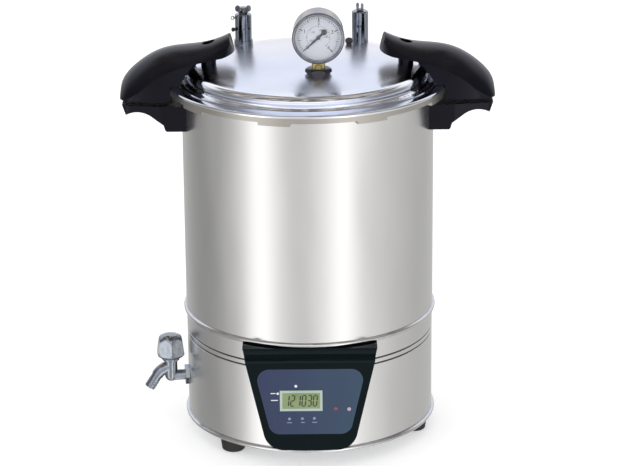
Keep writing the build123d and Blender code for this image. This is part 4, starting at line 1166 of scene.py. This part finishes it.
# %% Relief plug
low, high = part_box("relief_plug")
plug = (low + high) / 2
plug_outline = [
    (0.0, 0.0), (3.6, 0.0), (3.4, 1.4), (3.0, 2.0), (3.9, 2.6), (4.7, 4.0), (4.8, 5.4), (4.3, 7.0),
    (3.2, 8.2), (1.6, 8.8), (0.0, 8.9),
]
plug_scale = (high.z - low.z) / MM / plug_outline[-1][1]
plug_place = Matrix.Translation((plug.x, plug.y, low.z)) @ Matrix.Diagonal((1, 1, plug_scale, 1))
shape = bmesh.new()
add_turned(shape, plug_outline, plug_place, steps=36)
finish_piece(shape, "relief_plug_button", plug_rubber, "lid", ["relief_plug"])

# %% [markdown]
# At the back, the inlet's plate is held by two small screws, and its three pins are bright blades
# with chamfered ends. The blades stand round the drawn pins and are a little larger, so that the
# drawn ones don't show.

# %% Screws and pins of the power inlet
low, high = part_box("power_inlet")
inlet = (low + high) / 2
PLATE_SCREW_X, PLATE_SCREW_R, PLATE_SCREW_H, PLATE_SCREW_SUNK = 18.0, 2.8, 1.5, 0.2
for side, sign in (("left", -1), ("right", 1)):
    screw_x = inlet.x + sign * PLATE_SCREW_X * MM
    place = Matrix.Translation((screw_x, high.y - PLATE_SCREW_SUNK * MM, inlet.z)) @ TO_BACK
    name = "inlet_screw_" + side
    screw_head(name, PLATE_SCREW_R, PLATE_SCREW_H, place, "body")
PIN_PITCH, BLADE_T, BLADE_W, BLADE_L = 7.0, 2.16, 4.16, 10.1
blade = [
    (-BLADE_T / 2, 0.0), (BLADE_T / 2, 0.0), (BLADE_T / 2, BLADE_L - 0.5),
    (BLADE_T / 4, BLADE_L), (-BLADE_T / 4, BLADE_L), (-BLADE_T / 2, BLADE_L - 0.5),
]
WELL_FLOOR_IN = 14.0
shape = bmesh.new()
for step in (-1, 0, 1):
    place = Matrix.Translation(
        (inlet.x + step * PIN_PITCH * MM, high.y - WELL_FLOOR_IN * MM, inlet.z)
    )
    add_plate(shape, blade, -BLADE_W / 2, BLADE_W / 2, place)
finish_piece(shape, "inlet_blades", brass, "body")

# %% [markdown]
# The room is a photo studio with a white sweep behind the object. The camera sees pure white, and
# dull surfaces get plain even light. Shiny steel is different, because it shows the room itself: a
# mirror in an even room looks like grey paint. The walls are therefore uneven. At eye height two
# tall soft windows stand in front, left and right of the camera, between grey side walls: their
# reflections are the upright bands that tell the eye that the vessel is round. Higher up there is a
# broad soft box in front and the sweep behind. One row of stops gives the tone at eye height by
# compass direction, in degrees from the camera's side, and a second row the tone higher up.

# %% The room's tone by direction
EYE_LEVEL = (
    (-180, 0.9), (-150, 0.6), (-112, 0.35), (-88, 0.42), (-66, 0.65), (-52, 1.6), (-42, 1.8),
    (-33, 1.2), (-18, 0.8), (-5, 0.7), (8, 0.9), (20, 1.2), (27, 1.8), (32, 2.1), (37, 1.4),
    (48, 1.0), (70, 0.8), (110, 0.6), (150, 0.65), (180, 0.9),
)
HIGHER_UP = (
    (-180, 1.15), (-125, 1.0), (-100, 0.3), (-70, 0.35), (-50, 0.9), (-25, 1.25), (25, 1.25),
    (50, 0.9), (70, 0.35), (100, 0.3), (125, 1.0), (180, 1.15),
)
TONE_SCALE = 2.6

world = bpy.data.worlds.new("pale_studio")
bpy.context.scene.world = world
world.use_nodes = True
room = world.node_tree
room.nodes.clear()
toward = add_node(room, "ShaderNodeTexCoord")
split = add_node(room, "ShaderNodeSeparateXYZ", Vector=toward.outputs["Generated"])
front = add_node(room, "ShaderNodeMath", {"operation": "MULTIPLY"}, i0=split.outputs["Y"], i1=-1.0)
compass = add_node(
    room, "ShaderNodeMath", {"operation": "ARCTAN2"}, i0=split.outputs["X"], i1=front.outputs[0]
)
share = add_node(
    room, "ShaderNodeMapRange", Value=compass.outputs[0],
    From_Min=-math.pi, From_Max=math.pi, To_Min=0.0, To_Max=1.0
)
tones = []
for stops in (EYE_LEVEL, HIGHER_UP):
    bands = add_node(room, "ShaderNodeFloatCurve", Value=share.outputs["Result"])
    curve = bands.mapping.curves[0]
    for number, (degrees, tone_there) in enumerate(stops):
        place = ((degrees + 180) / 360, tone_there / TONE_SCALE)
        if number < 2:
            curve.points[number].location = place
        else:
            curve.points.new(*place)
    bands.mapping.update()
    tones.append(add_node(
        room, "ShaderNodeMath", {"operation": "MULTIPLY"}, i0=bands.outputs[0], i1=TONE_SCALE
    ).outputs[0])
print("room tone in", len(EYE_LEVEL), "and", len(HIGHER_UP), "steps")

# %% [markdown]
# Above eye height the room changes with the height of the direction: a pinkish foot of the sweep, a
# bluish middle, a white soft box over it and then a dark ceiling with pale beams. The lid's crown
# shows the sweep, and its knuckle runs through all of them within a few millimetres, which draws
# its streaks.

# %% Zones by height
PINKISH = (1.00, 0.95, 0.96, 1.0)
BLUISH = (0.74, 0.80, 0.97, 1.0)
SOFT_BOX = (1.06, 1.06, 1.06, 1.0)
CEILING = (0.16, 0.14, 0.13, 1.0)
BEAM = (0.80, 0.74, 0.70, 1.0)
BEAM_SCALE, BEAM_FROM, BEAM_TO = 5.0, 0.46, 0.62
sky_map = add_node(
    room, "ShaderNodeCombineXYZ", X=compass.outputs[0], Y=split.outputs["Z"]
)
beam_noise = add_node(
    room, "ShaderNodeTexNoise", {"noise_dimensions": "2D"},
    Vector=sky_map.outputs["Vector"], Scale=BEAM_SCALE, Detail=3.0
)
beams = add_node(
    room, "ShaderNodeMapRange", {"interpolation_type": "SMOOTHSTEP"},
    Value=beam_noise.outputs["Fac"], From_Min=BEAM_FROM, From_Max=BEAM_TO, To_Min=0.0, To_Max=1.0
)
ceiling = add_node(
    room, "ShaderNodeMix", {"data_type": "RGBA"}, i0=beams.outputs["Result"], i6=CEILING, i7=BEAM
)


def sweep(colour):
    """The upper wall in one colour, with its own change of tone round the room."""
    return add_node(
        room, "ShaderNodeMix", {"data_type": "RGBA", "blend_type": "MULTIPLY"},
        i0=1.0, i6=tones[1], i7=colour
    ).outputs[2]


zones = tones[0]
for low_z, high_z, next_zone in (
    (0.03, 0.12, sweep(PINKISH)), (0.20, 0.27, sweep(BLUISH)), (0.40, 0.50, sweep(SOFT_BOX)),
    (0.60, 0.68, ceiling.outputs[2]),
):
    blend = add_node(
        room, "ShaderNodeMapRange", {"interpolation_type": "SMOOTHSTEP"},
        Value=split.outputs["Z"], From_Min=low_z, From_Max=high_z, To_Min=0.0, To_Max=1.0
    )
    zones = add_node(
        room, "ShaderNodeMix", {"data_type": "RGBA"},
        i0=blend.outputs["Result"], i6=zones, i7=next_zone
    ).outputs[2]

# %% [markdown]
# Light Path tells the rays apart: the camera and clear glass see white, shiny surfaces see the
# room, and everything else gets plain even light.

# %% Who sees what
PLAIN_LIGHT = (0.88, 0.88, 0.88, 1.0)
WHITE = (1.0, 1.0, 1.0, 1.0)
path = add_node(room, "ShaderNodeLightPath")
plain = add_node(
    room, "ShaderNodeMix", {"data_type": "RGBA"},
    i0=path.outputs["Is Diffuse Ray"], i6=zones, i7=PLAIN_LIGHT
)
white_for = add_node(
    room, "ShaderNodeMath", {"operation": "MAXIMUM"},
    i0=path.outputs["Is Camera Ray"], i1=path.outputs["Is Transmission Ray"]
)
seen = add_node(
    room, "ShaderNodeMix", {"data_type": "RGBA"},
    i0=white_for.outputs[0], i6=plain.outputs[2], i7=WHITE
)
sky = add_node(room, "ShaderNodeBackground", Color=seen.outputs[2], Strength=1.0)
add_node(room, "ShaderNodeOutputWorld", Surface=sky.outputs["Background"])
print("room ready")

# %% [markdown]
# Two lamps give the dull pieces their form. They are hidden from mirrors, which already show the
# soft windows.

# %% Two soft lamps
def soft_lamp(name, place, width, power):
    """A square lamp that faces the middle of the object."""
    light = bpy.data.lights.new(name, "AREA")
    light.shape = "SQUARE"
    light.size = width
    light.energy = power
    lamp = bpy.data.objects.new(name, light)
    lamp.location = place
    look = Vector((0.0, 0.0, 0.28)) - lamp.location
    lamp.rotation_euler = look.to_track_quat("-Z", "Y").to_euler()
    lamp.visible_camera = False
    lamp.visible_glossy = False
    bpy.context.scene.collection.objects.link(lamp)
    return lamp


soft_lamp("lamp_left", (-1.9, -1.9, 1.9), 1.0, 9.0)
soft_lamp("lamp_right", (1.3, -2.3, 1.3), 0.8, 4.0)
print("two lamps")

# %% [markdown]
# The floor is white paper. It keeps the soft shadow under the base. Mirror rays pass through it,
# so that the steel shows the room's walls down to its foot, as it does where the paper is small.

# %% The floor
GLOW_FOR_CAMERA = 0.36
GLOW_FOR_OTHERS = 0.14
bpy.ops.mesh.primitive_plane_add(size=30.0)
floor = bpy.context.object
floor.name = "studio_floor"
floor_paint, floor_tree, floor_shader = new_material("white_paper_floor", "F2F2F2", 0.9)
ray = add_node(floor_tree, "ShaderNodeLightPath")
glow_power = add_node(
    floor_tree, "ShaderNodeMapRange", Value=ray.outputs["Is Camera Ray"],
    To_Min=GLOW_FOR_OTHERS, To_Max=GLOW_FOR_CAMERA
)
glow = add_node(
    floor_tree, "ShaderNodeEmission", Color=WHITE, Strength=glow_power.outputs["Result"]
)
lit_paper = add_node(
    floor_tree, "ShaderNodeAddShader", i0=floor_shader.outputs["BSDF"], i1=glow.outputs["Emission"]
)
passing = add_node(floor_tree, "ShaderNodeBsdfTransparent")
paper = add_node(
    floor_tree, "ShaderNodeMixShader",
    i0=ray.outputs["Is Glossy Ray"], i1=lit_paper.outputs["Shader"], i2=passing.outputs["BSDF"]
)
floor_tree.links.new(
    paper.outputs["Shader"], floor_tree.nodes["Material Output"].inputs["Surface"]
)
floor.data.materials.append(floor_paint)
print("floor ready")

# %% [markdown]
# The camera stands where the photographer stood: a little above the lid, a good three metres away
# with a long lens, looking down by about eighteen degrees. The lens is shifted a little, because
# the photograph was cropped off its centre.

# %% The camera
PHOTO_W, PHOTO_H = 622, 466
FOCAL_PX = 2647.0
CENTRE_PX = (308.6, 211.9)
LOOK_DOWN = math.radians(18.4)
ROLL = math.radians(0.52)
DISTANCE = 3.2
AIM = Vector((0.0, 0.0, 0.2688))

lens = bpy.data.cameras.new("photo_camera")
lens.sensor_width = 36.0
lens.lens = FOCAL_PX / PHOTO_W * lens.sensor_width
lens.shift_x = (PHOTO_W / 2 - CENTRE_PX[0]) / PHOTO_W
lens.shift_y = (CENTRE_PX[1] - PHOTO_H / 2) / PHOTO_W
lens.clip_end = 60.0
camera = bpy.data.objects.new("photo_camera", lens)
forward = Vector((0.0, math.cos(LOOK_DOWN), -math.sin(LOOK_DOWN)))
camera.location = AIM - forward * DISTANCE
upright = Matrix.Rotation(math.pi / 2 - LOOK_DOWN, 4, "X")
camera.rotation_euler = (upright @ Matrix.Rotation(-ROLL, 4, "Z")).to_euler()
bpy.context.scene.collection.objects.link(camera)
bpy.context.scene.camera = camera
bpy.context.scene.view_settings.view_transform = "Standard"
print("camera at", [round(v, 3) for v in camera.location], "lens", round(lens.lens, 1), "mm")

# %% Done
print("scene built")
